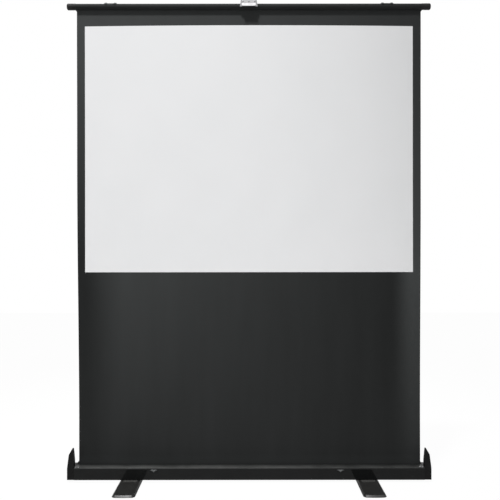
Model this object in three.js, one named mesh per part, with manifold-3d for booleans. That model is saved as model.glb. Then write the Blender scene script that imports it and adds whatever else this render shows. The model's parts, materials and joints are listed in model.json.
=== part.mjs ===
// Pull-up floor projection screen: a spring roller in a low case on two swivel feet, and a top bar
// that two folding arms hold up behind the fabric.
// Millimetres. +X is the viewer's right, +Y points away from the viewer, +Z is up.
// The origin is on the floor under the middle of the feet.
import * as THREE from "three";
import { mergeVertices } from "three/addons/utils/BufferGeometryUtils.js";
import Module from "manifold-3d";

// Driving dimensions: clearances
const GAP = 0.3; // between pieces that are seated on each other
const PIN_PLAY = 0.3; // radial, of a pin or shaft in its hole
const LAYER_GAP = 0.8; // between arms that pass each other
const BASE_GAP = 0.5; // between a base bracket and its arm
const WALL_GAP = 0.4; // between the stack of arms and the walls of its trough
const PAST = 1; // how far a cut runs past the face it starts from

// Driving dimensions: fabric
const picture = { width: 1592, height: 1200 };
const border = { side: 39, above: 73, below: 934 };
const fabric = { thickness: 0.45, coating: 0.3, woundTail: 150, slotWidth: 6 };

// Driving dimensions: roller
const roller = { tubeRadius: 17.5, tubeWall: 1.2, plugLength: 18, axleRadius: 4, endPlay: 2 };
const rollRoom = { around: 1.65, front: 5.5, rear: 2 };
const rollerSpring = { radius: 11.2, wire: 1, pitch: 7, turns: 9, seatRadius: 9.2, seatLength: 20 };

// Driving dimensions: case
const caseSize = { wall: 2, noseRadius: 8, endPlay: 4, lipDrop: 6 };
const flange = { thickness: 1.5, belowTop: 8 };
const partitionWall = 1.6;
const cap = { length: 32, wall: 3, radius: 3, bossRadius: 9, flatBehind: 24, rearDrop: 20 };
const tongue = { length: 34, height: 6, depth: 18 };
const fin = { thickness: 31.5, height: 88.5, tip: 5, tipFromOutside: 21.5, back: 4 };
const finOutside = { bendHeight: 60.5, bendIn: 6 };
const finInside = { straight: 33.5, bendHeight: 71.5, bendOut: 3 };
const finFront = { shoulder: 55.5, lean: 9, tipDepth: 9 };
const capScrew = { radius: 2, headRadius: 4.5, headHeight: 3, length: 8, behindFront: 13 };
const capScrewRow = { fromEnd: 5, spacing: 14 };
const wingCatch = { left: 457, right: 436, belowTop: 13.5, halfLength: 18, thickness: 4, studRadius: 3.5 };
const wing = { tip: 3.4, dip: -6, crown: 5, bend: 7, lowerBend: 3.6, upperBend: 7.4 };

// Driving dimensions: folding arms
const arm = { thickness: 9, halfWidth: 12, web: 1.8, x: 670, restAngle: 26.5, solidEnd: 22 };
const armPin = { radius: 5, headRadius: 8, headHeight: 2.5, baseHead: 2 };
const baseBracket = { layer: 6, plate: 3, halfWidth: 20, eye: 13, floorPlate: 2, floorDepth: 24 };
const hanger = { thickness: 2.5, halfWidth: 30, flange: 2.5, apart: 1, shelfAhead: 8 };
const elbowDrum = { radius: 24, wall: 1.4, springTurns: 3, springStrip: 1.2, springRoom: 2 };

// Driving dimensions: top bar
const bar = { height: 29.5, wall: 1.6, lip: 1.45, rearRadius: 4, closedGap: 2, endPlay: 2 };
const rod = { radius: 2.8, slot: 1.6 };
const knob = { radius: 15.8, length: 40, dome: 6, plate: 4, behindFin: 3 };
const knobGroove = { depth: 2.2, at: 5, width: 3 };
const strap = { thickness: 2.2, halfWidth: 30, behindRivet: 10, wrap: 60 };
const strapRib = { x: 22, width: 10, height: 2.2 };
const rivet = { radius: 4, headRadius: 8, headHeight: 3.5, behindWall: 18, tail: 1 };
const handle = { width: 86, topWidth: 74, rise: 19, drop: 19.5, ahead: 6, behindWall: 20, wall: 3 };
const grip = { width: 67, sheet: 2, lipBelow: 3, flare: 8 };
const gripRivet = { radius: 1.8, headRadius: 3.8, headHeight: 2, spacing: 28.5, above: 3.5, depth: 2.6 };

// Driving dimensions: feet
const foot = { x: 567, width: 106, length: 542, height: 10, lift: 2, corner: 16, sheet: 2, wall: 3 };
const footBracket = { width: 66, ahead: 25, thickness: 1.4, corner: 6, bossRadius: 9 };
const footBolt = { radius: 5, headRadius: 11, headHeight: 4 };
const footPad = { length: 34, inset: 4, corner: 8 };

// Places that follow from the driving dimensions: widths and heights
const fabricHalf = picture.width / 2 + border.side;
const caseHalf = fabricHalf + caseSize.endPlay;
const capInner = caseHalf + GAP;
const capOuter = capInner + cap.length;
const woundLength = border.below + picture.height + border.above + fabric.woundTail;
const fullRoll = Math.sqrt(roller.tubeRadius ** 2 + (fabric.thickness * woundLength) / Math.PI);
const wrapRadius = Math.sqrt(roller.tubeRadius ** 2 + (fabric.thickness * fabric.woundTail) / Math.PI) + GAP;
const footTop = foot.lift + foot.height;
const caseBottom = footTop + GAP + footBracket.thickness + GAP;
const caseFloor = caseBottom + caseSize.wall;
const axisZ = caseFloor + rollRoom.around + fullRoll;
const caseTop = axisZ + fullRoll + rollRoom.around + caseSize.wall;
const pictureBottom = caseTop + border.below;
const pictureTop = pictureBottom + picture.height;
const barBottom = pictureTop + border.above;
const barTop = barBottom + bar.height;
const closedBarBottom = caseTop + bar.closedGap;
const travel = barBottom - closedBarBottom;
const topPivotZ = axisZ + travel;
const restAngle = THREE.MathUtils.degToRad(arm.restAngle);
const armLength = travel / 2 / Math.cos(restAngle);

// Places that follow: depths, stacked from the front of the case to its back
const trough = [
  ["leftBase", baseBracket.layer, BASE_GAP],
  ["leftLower", arm.thickness, LAYER_GAP],
  ["leftUpper", arm.thickness, LAYER_GAP],
  ["leftHanger", hanger.thickness, hanger.apart],
  ["rightHanger", hanger.thickness, LAYER_GAP],
  ["rightUpper", arm.thickness, LAYER_GAP],
  ["rightLower", arm.thickness, BASE_GAP],
  ["rightBase", baseBracket.layer, WALL_GAP],
];
const rollPocket = GAP + flange.thickness + rollRoom.front + 2 * fullRoll + rollRoom.rear + partitionWall;
const troughDepth = trough.reduce((sum, [, thickness, after]) => sum + thickness + after, WALL_GAP);
const caseDepth = 2 * caseSize.wall + rollPocket + troughDepth;
const caseFront = -caseDepth / 2;
const caseRear = caseDepth / 2;
const rollerY = caseFront + caseSize.wall + GAP + flange.thickness + rollRoom.front + fullRoll;
const fabricY = rollerY + wrapRadius + GAP + fabric.thickness / 2;
const partitionRear = caseFront + caseSize.wall + rollPocket;
const layers = {};
trough.reduce((y, [name, thickness, after]) => {
  layers[name] = [y, y + thickness];
  return y + thickness + after;
}, partitionRear + WALL_GAP);
const capScrewY = caseFront + capScrew.behindFront;
const noseRadius = bar.height / 2;
const noseY = fabricY - rod.slot / 2 - bar.lip;
const barFront = noseY - noseRadius;
const finRear = noseY - knob.radius - knob.behindFin;
const shaftEnd = capOuter - 2 * cap.wall;
const barHalf = fabricHalf + bar.endPlay;
const flangeTop = barTop - bar.wall - GAP;
const innerWallRear = fabricY + rod.radius + GAP + bar.wall;
const rivetY = innerWallRear + rivet.behindWall;
const handleRear = innerWallRear + handle.behindWall;

// Materials, as the object's finishes
function finish(color, roughness, metalness) {
  return new THREE.MeshStandardMaterial({ color, roughness, metalness });
}
const glossBlack = finish(0x141515, 0.18, 0.0);
const satinBlack = finish(0x232424, 0.4, 0.0);
const armBlack = finish(0x2b2c2d, 0.35, 0.6);
const mouldedBlack = finish(0x1a1a1a, 0.6, 0.0);
const footBlack = finish(0x20201f, 0.45, 0.1);
const blackCloth = finish(0x2c2e2e, 0.9, 0.0);
const whiteCloth = finish(0xe6e6e6, 0.85, 0.0);
const brightSteel = finish(0xc4c4c2, 0.3, 1.0);
const greySteel = finish(0x6f7170, 0.45, 0.8);
const chrome = finish(0xdcdcdc, 0.12, 1.0);
const aluminium = finish(0xb9babb, 0.4, 1.0);
const blackRubber = finish(0x151515, 0.9, 0.0);

// Boolean joins and cuts
const wasm = await Module();
wasm.setup();

function solidOf(geometry) {
  const loose = geometry.index ? geometry.toNonIndexed() : geometry;
  const bare = new THREE.BufferGeometry().setAttribute("position", loose.getAttribute("position"));
  const merged = mergeVertices(bare, 1e-4);
  const index = merged.index.array;
  const corners = [];
  for (let i = 0; i < index.length; i += 3) {
    const [a, b, c] = [index[i], index[i + 1], index[i + 2]];
    if (a !== b && b !== c && c !== a) corners.push(a, b, c);
  }
  const triVerts = new Uint32Array(corners);
  const vertProperties = merged.getAttribute("position").array;
  return new wasm.Manifold(new wasm.Mesh({ numProp: 3, vertProperties, triVerts }));
}

function geometryOf(solid) {
  const { vertProperties, triVerts } = solid.getMesh();
  const geometry = new THREE.BufferGeometry();
  geometry.setAttribute("position", new THREE.BufferAttribute(new Float32Array(vertProperties), 3));
  return geometry.setIndex(new THREE.BufferAttribute(new Uint32Array(triVerts), 1));
}

function cut(geometry, tools) {
  return geometryOf(tools.map(solidOf).reduce((left, tool) => left.subtract(tool), solidOf(geometry)));
}

const join = (...pieces) => geometryOf(pieces.map(solidOf).reduce((a, b) => a.add(b)));
const common = (a, b) => geometryOf(solidOf(a).intersect(solidOf(b)));

// Basic shapes
const X = new THREE.Vector3(1, 0, 0);
const Y = new THREE.Vector3(0, 1, 0);
const Z = new THREE.Vector3(0, 0, 1);
const drawnAcross = {
  x: new THREE.Matrix4().makeBasis(Y, Z, X), // outline in (Y, Z)
  y: new THREE.Matrix4().makeBasis(X, Z, Y.clone().negate()), // outline in (X, Z)
  z: new THREE.Matrix4(), // outline in (X, Y)
};

function prism(shape, axis, from, to, curveSegments = 8) {
  const settings = { depth: to - from, bevelEnabled: false, curveSegments };
  const geometry = new THREE.ExtrudeGeometry(shape, settings);
  geometry.translate(0, 0, axis === "y" ? -to : from);
  return geometry.applyMatrix4(drawnAcross[axis]);
}

const polygon = (points) => new THREE.Shape(points.map(([u, v]) => new THREE.Vector2(u, v)));

function block([x0, x1], [y0, y1], [z0, z1]) {
  const geometry = new THREE.BoxGeometry(x1 - x0, y1 - y0, z1 - z0);
  return geometry.translate((x0 + x1) / 2, (y0 + y1) / 2, (z0 + z1) / 2);
}

function roundedRect(u0, v0, u1, v1, r) {
  const shape = new THREE.Shape();
  shape.moveTo(u0 + r, v0);
  shape.lineTo(u1 - r, v0);
  shape.absarc(u1 - r, v0 + r, r, -Math.PI / 2, 0, false);
  shape.lineTo(u1, v1 - r);
  shape.absarc(u1 - r, v1 - r, r, 0, Math.PI / 2, false);
  shape.lineTo(u0 + r, v1);
  shape.absarc(u0 + r, v1 - r, r, Math.PI / 2, Math.PI, false);
  shape.lineTo(u0, v0 + r);
  shape.absarc(u0 + r, v0 + r, r, Math.PI, 1.5 * Math.PI, false);
  return shape;
}

// A turned piece: the outline holds (radius, distance along the axis), counter-clockwise.
function turned(outline, axis, segments = 24) {
  const points = [...outline, outline[0]].map(([r, h]) => new THREE.Vector2(r, h));
  const geometry = new THREE.LatheGeometry(points, segments);
  if (axis === "x") geometry.applyMatrix4(new THREE.Matrix4().makeBasis(Y, X, Z.clone().negate()));
  if (axis === "z") geometry.applyMatrix4(new THREE.Matrix4().makeBasis(X, Z, Y.clone().negate()));
  return geometry;
}

const rodAlong = (axis, radius, from, to, segments = 24) =>
  turned([[0, from], [radius, from], [radius, to], [0, to]], axis, segments);

const tubeAlong = (axis, inner, outer, from, to, segments = 24) =>
  turned([[inner, from], [outer, from], [outer, to], [inner, to]], axis, segments);

// A pin with a flat head: the head fills headSpan, and the shank runs from it to end.
function headedPin(axis, radius, headRadius, headSpan, end, segments = 20) {
  const [low, high] = headSpan;
  const outline = end > high
    ? [[0, low], [headRadius, low], [headRadius, high], [radius, high], [radius, end], [0, end]]
    : [[0, end], [radius, end], [radius, low], [headRadius, low], [headRadius, high], [0, high]];
  return turned(outline, axis, segments);
}

// A round-headed fastener: the shank runs from bottom to seat, and the head has a low rim and a dome.
function domeHead(axis, radius, headRadius, headHeight, bottom, seat, segments = 16) {
  const rim = headHeight / 4;
  const outline = [[0, bottom], [radius, bottom], [radius, seat], [headRadius, seat]];
  for (const degrees of [0, 30, 60, 90]) {
    const angle = THREE.MathUtils.degToRad(degrees);
    const r = degrees < 90 ? headRadius * Math.cos(angle) : 0;
    outline.push([r, seat + rim + (headHeight - rim) * Math.sin(angle)]);
  }
  return turned(outline, axis, segments);
}

const moved = (geometry, x, y, z) => geometry.translate(x, y, z);

function mesh(name, geometry, material) {
  const made = new THREE.Mesh(geometry, material);
  made.name = name;
  return made;
}

function group(children, x = 0, y = 0, z = 0) {
  const made = new THREE.Group();
  made.position.set(x, y, z);
  made.add(...children);
  return made;
}

const sides = [
  ["left", -1],
  ["right", 1],
];

// Case: base channel with the roller pocket in front and the arm trough behind
function caseBase() {
  const flangeFront = caseFront + caseSize.wall + GAP;
  const flangeRear = flangeFront + flange.thickness;
  const partitionFront = partitionRear - partitionWall;
  const rearInner = caseRear - caseSize.wall;
  const flangeHeight = caseTop - flange.belowTop;
  const lip = fabricY + fabric.slotWidth / 2;
  const section = polygon([
    [flangeFront, caseBottom], [caseRear, caseBottom], [caseRear, caseTop], [rearInner, caseTop],
    [rearInner, caseFloor], [partitionRear, caseFloor], [partitionRear, caseTop], [lip, caseTop],
    [lip, caseTop - caseSize.wall], [partitionFront, caseTop - caseSize.wall], [partitionFront, caseFloor],
    [flangeRear, caseFloor], [flangeRear, flangeHeight], [flangeFront, flangeHeight],
  ]);
  const holes = [];
  for (const [name, side] of sides) {
    const bossHole = footBracket.bossRadius + GAP;
    holes.push(moved(rodAlong("z", bossHole, caseBottom - PAST, caseFloor + PAST), side * foot.x, 0, 0));
    const stud = rodAlong("y", wingCatch.studRadius + PIN_PLAY, flangeFront - PAST, flangeRear + PAST, 16);
    holes.push(moved(stud, side * wingCatch[name], 0, caseTop - wingCatch.belowTop));
  }
  return mesh("case_base", cut(prism(section, "x", -caseHalf, caseHalf), holes), glossBlack);
}

// Case: glossy front cover with a rounded top edge and the lip of the fabric slot
function caseFrontCover() {
  const { wall, noseRadius: outer, lipDrop } = caseSize;
  const lip = fabricY - fabric.slotWidth / 2;
  const section = new THREE.Shape();
  section.moveTo(caseFront + wall, caseBottom);
  section.lineTo(caseFront + wall, caseTop - outer);
  section.absarc(caseFront + outer, caseTop - outer, outer - wall, Math.PI, Math.PI / 2, true);
  section.lineTo(lip - wall, caseTop - wall);
  section.lineTo(lip - wall, caseTop - lipDrop);
  section.lineTo(lip, caseTop - lipDrop);
  section.lineTo(lip, caseTop);
  section.absarc(caseFront + outer, caseTop - outer, outer, Math.PI / 2, Math.PI, false);
  section.lineTo(caseFront, caseBottom);
  const holes = [];
  for (const [name, side] of sides) {
    const studHole = wingCatch.studRadius + PIN_PLAY;
    const stud = rodAlong("y", studHole, caseFront - PAST, caseFront + wall + PAST, 16);
    holes.push(moved(stud, side * wingCatch[name], 0, caseTop - wingCatch.belowTop));
    for (const x of capScrewPlaces(side)) {
      const hole = rodAlong("z", capScrew.radius + PIN_PLAY, caseTop - wall - PAST, caseTop + PAST, 16);
      holes.push(moved(hole, x, capScrewY, 0));
    }
  }
  return mesh("case_front_cover", cut(prism(section, "x", -caseHalf, caseHalf), holes), glossBlack);
}

function capScrewPlaces(side) {
  const outermost = caseHalf - capScrewRow.fromEnd;
  return [outermost, outermost - capScrewRow.spacing].map((x) => side * x);
}

// A span along X from inner to outer on the given side, in rising order
const span = (side, inner, outer) => (side > 0 ? [inner, outer] : [-outer, -inner]);

// The fin of an end cap: a tapered horn at the front corner, in front of where the knob comes down
function finOf(side) {
  const top = caseTop + fin.height;
  const root = caseTop - caseSize.noseRadius - PAST;
  const rear = finRear;
  const sideView = polygon([
    [caseFront, root], [rear, root], [rear, caseTop], [rear - fin.back, top],
    [rear - fin.back - finFront.tipDepth, top], [caseFront + finFront.lean, caseTop + finFront.shoulder],
    [caseFront, caseTop - caseSize.noseRadius],
  ]);
  const inner = side * (capOuter - fin.thickness);
  const outer = side * capOuter;
  const tipOuter = side * (capOuter - fin.tipFromOutside);
  const tipInner = tipOuter - side * fin.tip;
  const frontView = polygon([
    [inner, root], [outer, root], [outer, caseTop],
    [outer - side * finOutside.bendIn, caseTop + finOutside.bendHeight], [tipOuter, top], [tipInner, top],
    [inner + side * finInside.bendOut, caseTop + finInside.bendHeight],
    [inner, caseTop + finInside.straight],
  ]);
  const fromSide = prism(sideView, "x", ...span(side, capOuter - fin.thickness - PAST, capOuter + PAST));
  return common(fromSide, prism(frontView, "y", caseFront, rear));
}

// End cap, low at the rear: above its slope a thin inner wall closes the end of the trough
function endCap(name, side) {
  const { noseRadius: nose } = caseSize;
  const r = cap.radius;
  const rearTop = caseTop - cap.rearDrop;
  const slopeStart = partitionRear + cap.flatBehind;
  const outline = new THREE.Shape();
  outline.moveTo(caseFront + r, caseBottom);
  outline.lineTo(caseRear - r, caseBottom);
  outline.absarc(caseRear - r, caseBottom + r, r, -Math.PI / 2, 0, false);
  outline.lineTo(caseRear, rearTop);
  outline.lineTo(slopeStart, caseTop);
  outline.lineTo(caseFront + nose, caseTop);
  outline.absarc(caseFront + nose, caseTop - nose, nose, Math.PI / 2, Math.PI, false);
  outline.lineTo(caseFront, caseBottom + r);
  outline.absarc(caseFront + r, caseBottom + r, r, Math.PI, 1.5 * Math.PI, false);
  const body = prism(outline, "x", ...span(side, capInner, capOuter));
  const underTop = caseTop - cap.wall - PAST;
  const pocketView = polygon([
    [caseFront + nose, caseBottom + cap.wall], [caseRear - cap.wall, caseBottom + cap.wall],
    [caseRear - cap.wall, rearTop - cap.wall], [slopeStart, underTop], [caseFront + nose, underTop],
  ]);
  const pocket = prism(pocketView, "x", ...span(side, capInner - PAST, capOuter - cap.wall));
  const closingView = polygon([
    [slopeStart, caseTop], [slopeStart, caseTop - PAST],
    [caseRear, rearTop - PAST], [caseRear, caseTop],
  ]);
  const closing = prism(closingView, "x", ...span(side, capInner, capInner + cap.wall));
  const boss = rodAlong("x", cap.bossRadius, ...span(side, capInner, capOuter - cap.wall / 2));
  const bore = rodAlong("x", roller.axleRadius + PIN_PLAY, ...span(side, capInner - PAST, shaftEnd + GAP));
  const holes = [moved(bore, 0, rollerY, axisZ)];
  for (const x of capScrewPlaces(side)) {
    const bottom = caseTop - capScrew.length - PAST;
    holes.push(moved(rodAlong("z", capScrew.radius + PIN_PLAY, bottom, caseTop, 16), x, capScrewY, 0));
  }
  const hollow = cut(body, [pocket]);
  const shell = join(hollow, closing, moved(boss, 0, rollerY, axisZ), capTongue(side), finOf(side));
  return mesh(name, cut(shell, holes), mouldedBlack);
}

// The tongue of an end cap, which lies under the top of the front cover and takes its screws
function capTongue(side) {
  const { wall, noseRadius: nose } = caseSize;
  const front = caseFront + wall + GAP + flange.thickness + GAP;
  const top = caseTop - wall - GAP;
  const reach = span(side, capInner - tongue.length, capInner + PAST);
  const slab = block(reach, [front, caseFront + tongue.depth], [top - tongue.height, top]);
  const middle = caseFront + nose;
  const past = [reach[0] - PAST, reach[1] + PAST];
  const edge = rodAlong("x", nose - wall - GAP, ...past, 32);
  const behind = block(past, [middle, middle + tongue.depth], [caseBottom, caseTop]);
  return common(slab, join(moved(edge, 0, middle, caseTop - nose), behind));
}

function capScrews(side, name) {
  return capScrewPlaces(side).map((x, i) => {
    const { radius, headRadius, headHeight, length } = capScrew;
    const seat = caseTop + GAP;
    const screw = domeHead("z", radius, headRadius, headHeight, seat - length, seat);
    return mesh(`${name}_cap_screw_${i + 1}`, moved(screw, x, capScrewY, 0), chrome);
  });
}

// A quarter-turn catch with two wings, which holds the front cover to the base channel
function wingCatchMesh(name) {
  const { halfLength: half, thickness, studRadius } = wingCatch;
  const outline = new THREE.Shape();
  outline.moveTo(-half, wing.tip);
  outline.quadraticCurveTo(-wing.bend, wing.lowerBend, 0, wing.dip);
  outline.quadraticCurveTo(wing.bend, wing.lowerBend, half, wing.tip);
  outline.quadraticCurveTo(wing.bend, wing.upperBend, 0, wing.crown);
  outline.quadraticCurveTo(-wing.bend, wing.upperBend, -half, wing.tip);
  const plateRear = caseFront - GAP;
  const plate = prism(outline, "y", plateRear - thickness, plateRear, 6);
  const studEnd = caseFront + caseSize.wall + GAP + flange.thickness + PAST;
  const stud = rodAlong("y", studRadius, plateRear - PAST, studEnd, 16);
  return mesh(name, join(plate, stud), greySteel);
}

// Roller, wound on by a spring: tube, plugs, spring and the wound tail of the fabric
function rollerMeshes() {
  const half = fabricHalf - roller.endPlay;
  const bore = roller.tubeRadius - roller.tubeWall;
  const wrapInner = roller.tubeRadius + GAP;
  const parts = [
    mesh("roller_tube", tubeAlong("x", bore, roller.tubeRadius, -half, half), aluminium),
    mesh("fabric_wound_tail", tubeAlong("x", wrapInner, wrapRadius, -fabricHalf, fabricHalf), blackCloth),
  ];
  for (const [name, side] of sides) {
    const ends = span(side, half - roller.plugLength, half);
    const plug = tubeAlong("x", roller.axleRadius + PIN_PLAY, bore - GAP, ...ends);
    parts.push(mesh(`roller_plug_${name}`, plug, mouldedBlack));
  }
  parts.push(mesh("roller_spring", rollerSpringCoil(-half + roller.plugLength + GAP), greySteel));
  return group(parts, 0, rollerY, axisZ);
}

function rollerSpringCoil(start) {
  const { radius, wire, pitch, turns } = rollerSpring;
  const stepsPerTurn = 12;
  class Helix extends THREE.Curve {
    getPoint(t) {
      const angle = 2 * Math.PI * turns * t;
      const along = start + wire + pitch * turns * t;
      return new THREE.Vector3(along, radius * Math.cos(angle), radius * Math.sin(angle));
    }
  }
  const wireSides = 5;
  const section = polygon(Array.from({ length: wireSides }, (_, i) => {
    const angle = (2 * Math.PI * i) / wireSides;
    return [wire * Math.cos(angle), wire * Math.sin(angle)];
  }));
  return new THREE.ExtrudeGeometry(section, { steps: stepsPerTurn * turns, extrudePath: new Helix() });
}

// Fixed shafts the roller turns on: the left one is also the spring's arbor
function rollerShafts() {
  const half = fabricHalf - roller.endPlay;
  const seatStart = -half + roller.plugLength + GAP + roller.endPlay;
  const { axleRadius } = roller;
  const arbor = turned([
    [0, -shaftEnd], [axleRadius, -shaftEnd], [axleRadius, seatStart], [rollerSpring.seatRadius, seatStart],
    [rollerSpring.seatRadius, seatStart + rollerSpring.seatLength], [0, seatStart + rollerSpring.seatLength],
  ], "x");
  const axle = rodAlong("x", axleRadius, half - roller.plugLength, shaftEnd);
  const parts = [mesh("roller_spring_arbor", arbor, brightSteel), mesh("roller_axle", axle, brightSteel)];
  return group(parts, 0, rollerY, axisZ);
}

// Fabric between the roller and the top bar, with the white coat on its front
function fabricMeshes() {
  const [front, rear] = [fabricY - fabric.thickness / 2, fabricY + fabric.thickness / 2];
  const rodBottom = barBottom + bar.wall + GAP;
  const sheet = block([-fabricHalf, fabricHalf], [front, rear], [axisZ, rodBottom - GAP]);
  const coatRear = front - GAP;
  const halfPicture = picture.width / 2;
  const coatY = [coatRear - fabric.coating, coatRear];
  const coat = block([-halfPicture, halfPicture], coatY, [pictureBottom, pictureTop]);
  return [mesh("screen_fabric", sheet, blackCloth), mesh("projection_surface", coat, whiteCloth)];
}

// Folding arms, drawn standing on their lower pivot at the origin
function stadium(radius, bottom, top) {
  const shape = new THREE.Shape();
  shape.absarc(0, bottom, radius, Math.PI, 2 * Math.PI, false);
  shape.absarc(0, top, radius, 0, Math.PI, false);
  return shape;
}

function armGeometry([front, rear], pocketInFront) {
  const { halfWidth, web, solidEnd } = arm;
  const outline = prism(stadium(halfWidth, 0, armLength), "y", front, rear, 6);
  const pocketY = pocketInFront ? [front - PAST, rear - web] : [front + web, rear + PAST];
  const recess = stadium(halfWidth - web, solidEnd + halfWidth, armLength - solidEnd - halfWidth);
  const holes = [0, armLength].map((z) => {
    return moved(rodAlong("y", armPin.radius + PIN_PLAY, front - PAST, rear + PAST, 20), 0, 0, z);
  });
  return cut(outline, [prism(recess, "y", ...pocketY, 4), ...holes]);
}

function elbowCover([front, rear], openAtRear) {
  const { radius, wall } = elbowDrum;
  const outline = openAtRear
    ? [[0, front], [radius, front], [radius, rear], [radius - wall, rear], [radius - wall, front + wall],
      [0, front + wall]]
    : [[0, rear - wall], [radius - wall, rear - wall], [radius - wall, front], [radius, front],
      [radius, rear], [0, rear]];
  return turned(outline, "y", 28);
}

// A flat spiral strip between the elbow pin and the drum wall
function elbowSpring([front, rear]) {
  const { radius, wall, springTurns, springStrip, springRoom } = elbowDrum;
  const start = armPin.radius + springRoom;
  const growth = radius - wall - springRoom - springStrip - start;
  const stepsPerTurn = 14;
  const steps = springTurns * stepsPerTurn;
  const edge = (offset) => Array.from({ length: steps + 1 }, (_, i) => {
    const angle = (2 * Math.PI * springTurns * i) / steps;
    const r = start + (growth * i) / steps + offset;
    return [r * Math.cos(angle), r * Math.sin(angle)];
  });
  return prism(polygon([...edge(springStrip), ...edge(0).reverse()]), "y", front, rear);
}

// Both arms of one side, folded out to the rest angle, with their pins, elbow drum and spring
function armPair(name, side) {
  const lower = layers[`${name}Lower`];
  const upper = layers[`${name}Upper`];
  const base = layers[`${name}Base`];
  const frontSide = side < 0;
  const drumLayer = frontSide ? [base[0] + GAP, lower[0] - GAP] : [lower[1] + GAP, base[1] - GAP];
  const springLayer = frontSide
    ? [drumLayer[0] + elbowDrum.wall + GAP, lower[0] - 2 * GAP]
    : [lower[1] + 2 * GAP, drumLayer[1] - elbowDrum.wall - GAP];
  const pinSpan = frontSide
    ? [springLayer[0], upper[1] - GAP]
    : [upper[0] + GAP, springLayer[1]];
  const lowerMesh = mesh(`${name}_lower_arm`, armGeometry(lower, false), armBlack);
  const upperMesh = mesh(`${name}_upper_arm`, armGeometry(upper, true), armBlack);
  const cover = mesh(`${name}_elbow_cover`, elbowCover(drumLayer, frontSide), mouldedBlack);
  const spring = mesh(`${name}_elbow_spring`, elbowSpring(springLayer), greySteel);
  const pin = mesh(`${name}_elbow_pin`, rodAlong("y", armPin.radius, ...pinSpan, 20), brightSteel);
  const atElbow = group([cover, spring], 0, 0, armLength);
  const lowerArm = group([lowerMesh, atElbow], side * arm.x, 0, axisZ);
  lowerArm.rotation.y = -side * restAngle;
  const elbowX = side * (arm.x - armLength * Math.sin(restAngle));
  const upperArm = group([upperMesh, pin], elbowX, 0, axisZ + armLength * Math.cos(restAngle));
  upperArm.rotation.y = side * restAngle;
  return [lowerArm, upperArm];
}

// Bracket on the floor of the trough that carries the lower arm's pin
function baseBracketMeshes(name, side) {
  const layer = layers[`${name}Base`];
  const lower = layers[`${name}Lower`];
  const frontSide = side < 0;
  const { plate: sheet } = baseBracket;
  const cheek = frontSide ? [layer[1] - sheet, layer[1]] : [layer[0], layer[0] + sheet];
  const bottom = caseFloor + GAP;
  const outline = new THREE.Shape();
  const r = baseBracket.eye;
  outline.moveTo(-baseBracket.halfWidth, bottom);
  outline.lineTo(baseBracket.halfWidth, bottom);
  outline.lineTo(r, axisZ);
  outline.absarc(0, axisZ, r, 0, Math.PI, false);
  outline.lineTo(-baseBracket.halfWidth, bottom);
  const { floorDepth } = baseBracket;
  const plateY = frontSide ? [layer[0], layer[0] + floorDepth] : [layer[1] - floorDepth, layer[1]];
  const half = baseBracket.halfWidth;
  const floorPlate = block([-half, half], plateY, [bottom, bottom + baseBracket.floorPlate]);
  const hole = rodAlong("y", armPin.radius + PIN_PLAY, cheek[0] - PAST, cheek[1] + PAST, 20);
  const bracket = cut(join(prism(outline, "y", ...cheek), floorPlate), [moved(hole, 0, 0, axisZ)]);
  const headNear = frontSide ? cheek[0] - GAP : cheek[1] + GAP;
  const { baseHead } = armPin;
  const headSpan = frontSide ? [headNear - baseHead, headNear] : [headNear, headNear + baseHead];
  const pinEnd = frontSide ? lower[1] - GAP : lower[0] + GAP;
  const pin = headedPin("y", armPin.radius, armPin.headRadius, headSpan, pinEnd);
  const parts = [
    mesh(`${name}_arm_base`, bracket, greySteel),
    mesh(`${name}_base_pin`, moved(pin, 0, 0, axisZ), brightSteel),
  ];
  return group(parts, side * arm.x);
}

// Top bar: a round nose that grips the fabric rod, and a channel behind it that covers the trough
function barSection() {
  const { wall, rearRadius } = bar;
  const rear = caseRear;
  const midZ = barBottom + noseRadius;
  const slotFront = fabricY - rod.slot / 2;
  const slotRear = fabricY + rod.slot / 2;
  const innerWallFront = innerWallRear - wall;
  const s = new THREE.Shape();
  s.moveTo(slotFront, barBottom);
  s.lineTo(slotFront, barBottom + wall);
  s.lineTo(noseY, barBottom + wall);
  s.absarc(noseY, midZ, noseRadius - wall, -Math.PI / 2, Math.PI / 2, true);
  s.lineTo(innerWallFront, barTop - wall);
  s.lineTo(innerWallFront, barBottom + wall);
  s.lineTo(slotRear, barBottom + wall);
  s.lineTo(slotRear, barBottom);
  s.lineTo(innerWallRear, barBottom);
  s.lineTo(innerWallRear, barTop - wall);
  s.lineTo(rear - rearRadius, barTop - wall);
  s.absarc(rear - rearRadius, barTop - rearRadius, rearRadius - wall, Math.PI / 2, 0, true);
  s.lineTo(rear - wall, barBottom);
  s.lineTo(rear, barBottom);
  s.lineTo(rear, barTop - rearRadius);
  s.absarc(rear - rearRadius, barTop - rearRadius, rearRadius, 0, Math.PI / 2, false);
  s.lineTo(noseY, barTop);
  s.absarc(noseY, midZ, noseRadius, Math.PI / 2, 1.5 * Math.PI, false);
  return s;
}

function topBarMeshes() {
  const holes = [];
  for (const [, side] of sides) {
    const hole = rodAlong("z", rivet.radius + PIN_PLAY, barTop - bar.wall - PAST, barTop + PAST, 16);
    holes.push(moved(hole, side * arm.x, rivetY, 0));
  }
  const profile = cut(prism(barSection(), "x", -barHalf, barHalf, 10), holes);
  const rodZ = barBottom + bar.wall + GAP + rod.radius;
  const fabricRod = moved(rodAlong("x", rod.radius, -barHalf, barHalf, 16), 0, fabricY, rodZ);
  return [mesh("top_bar", profile, satinBlack), mesh("fabric_rod", fabricRod, brightSteel)];
}

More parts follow.
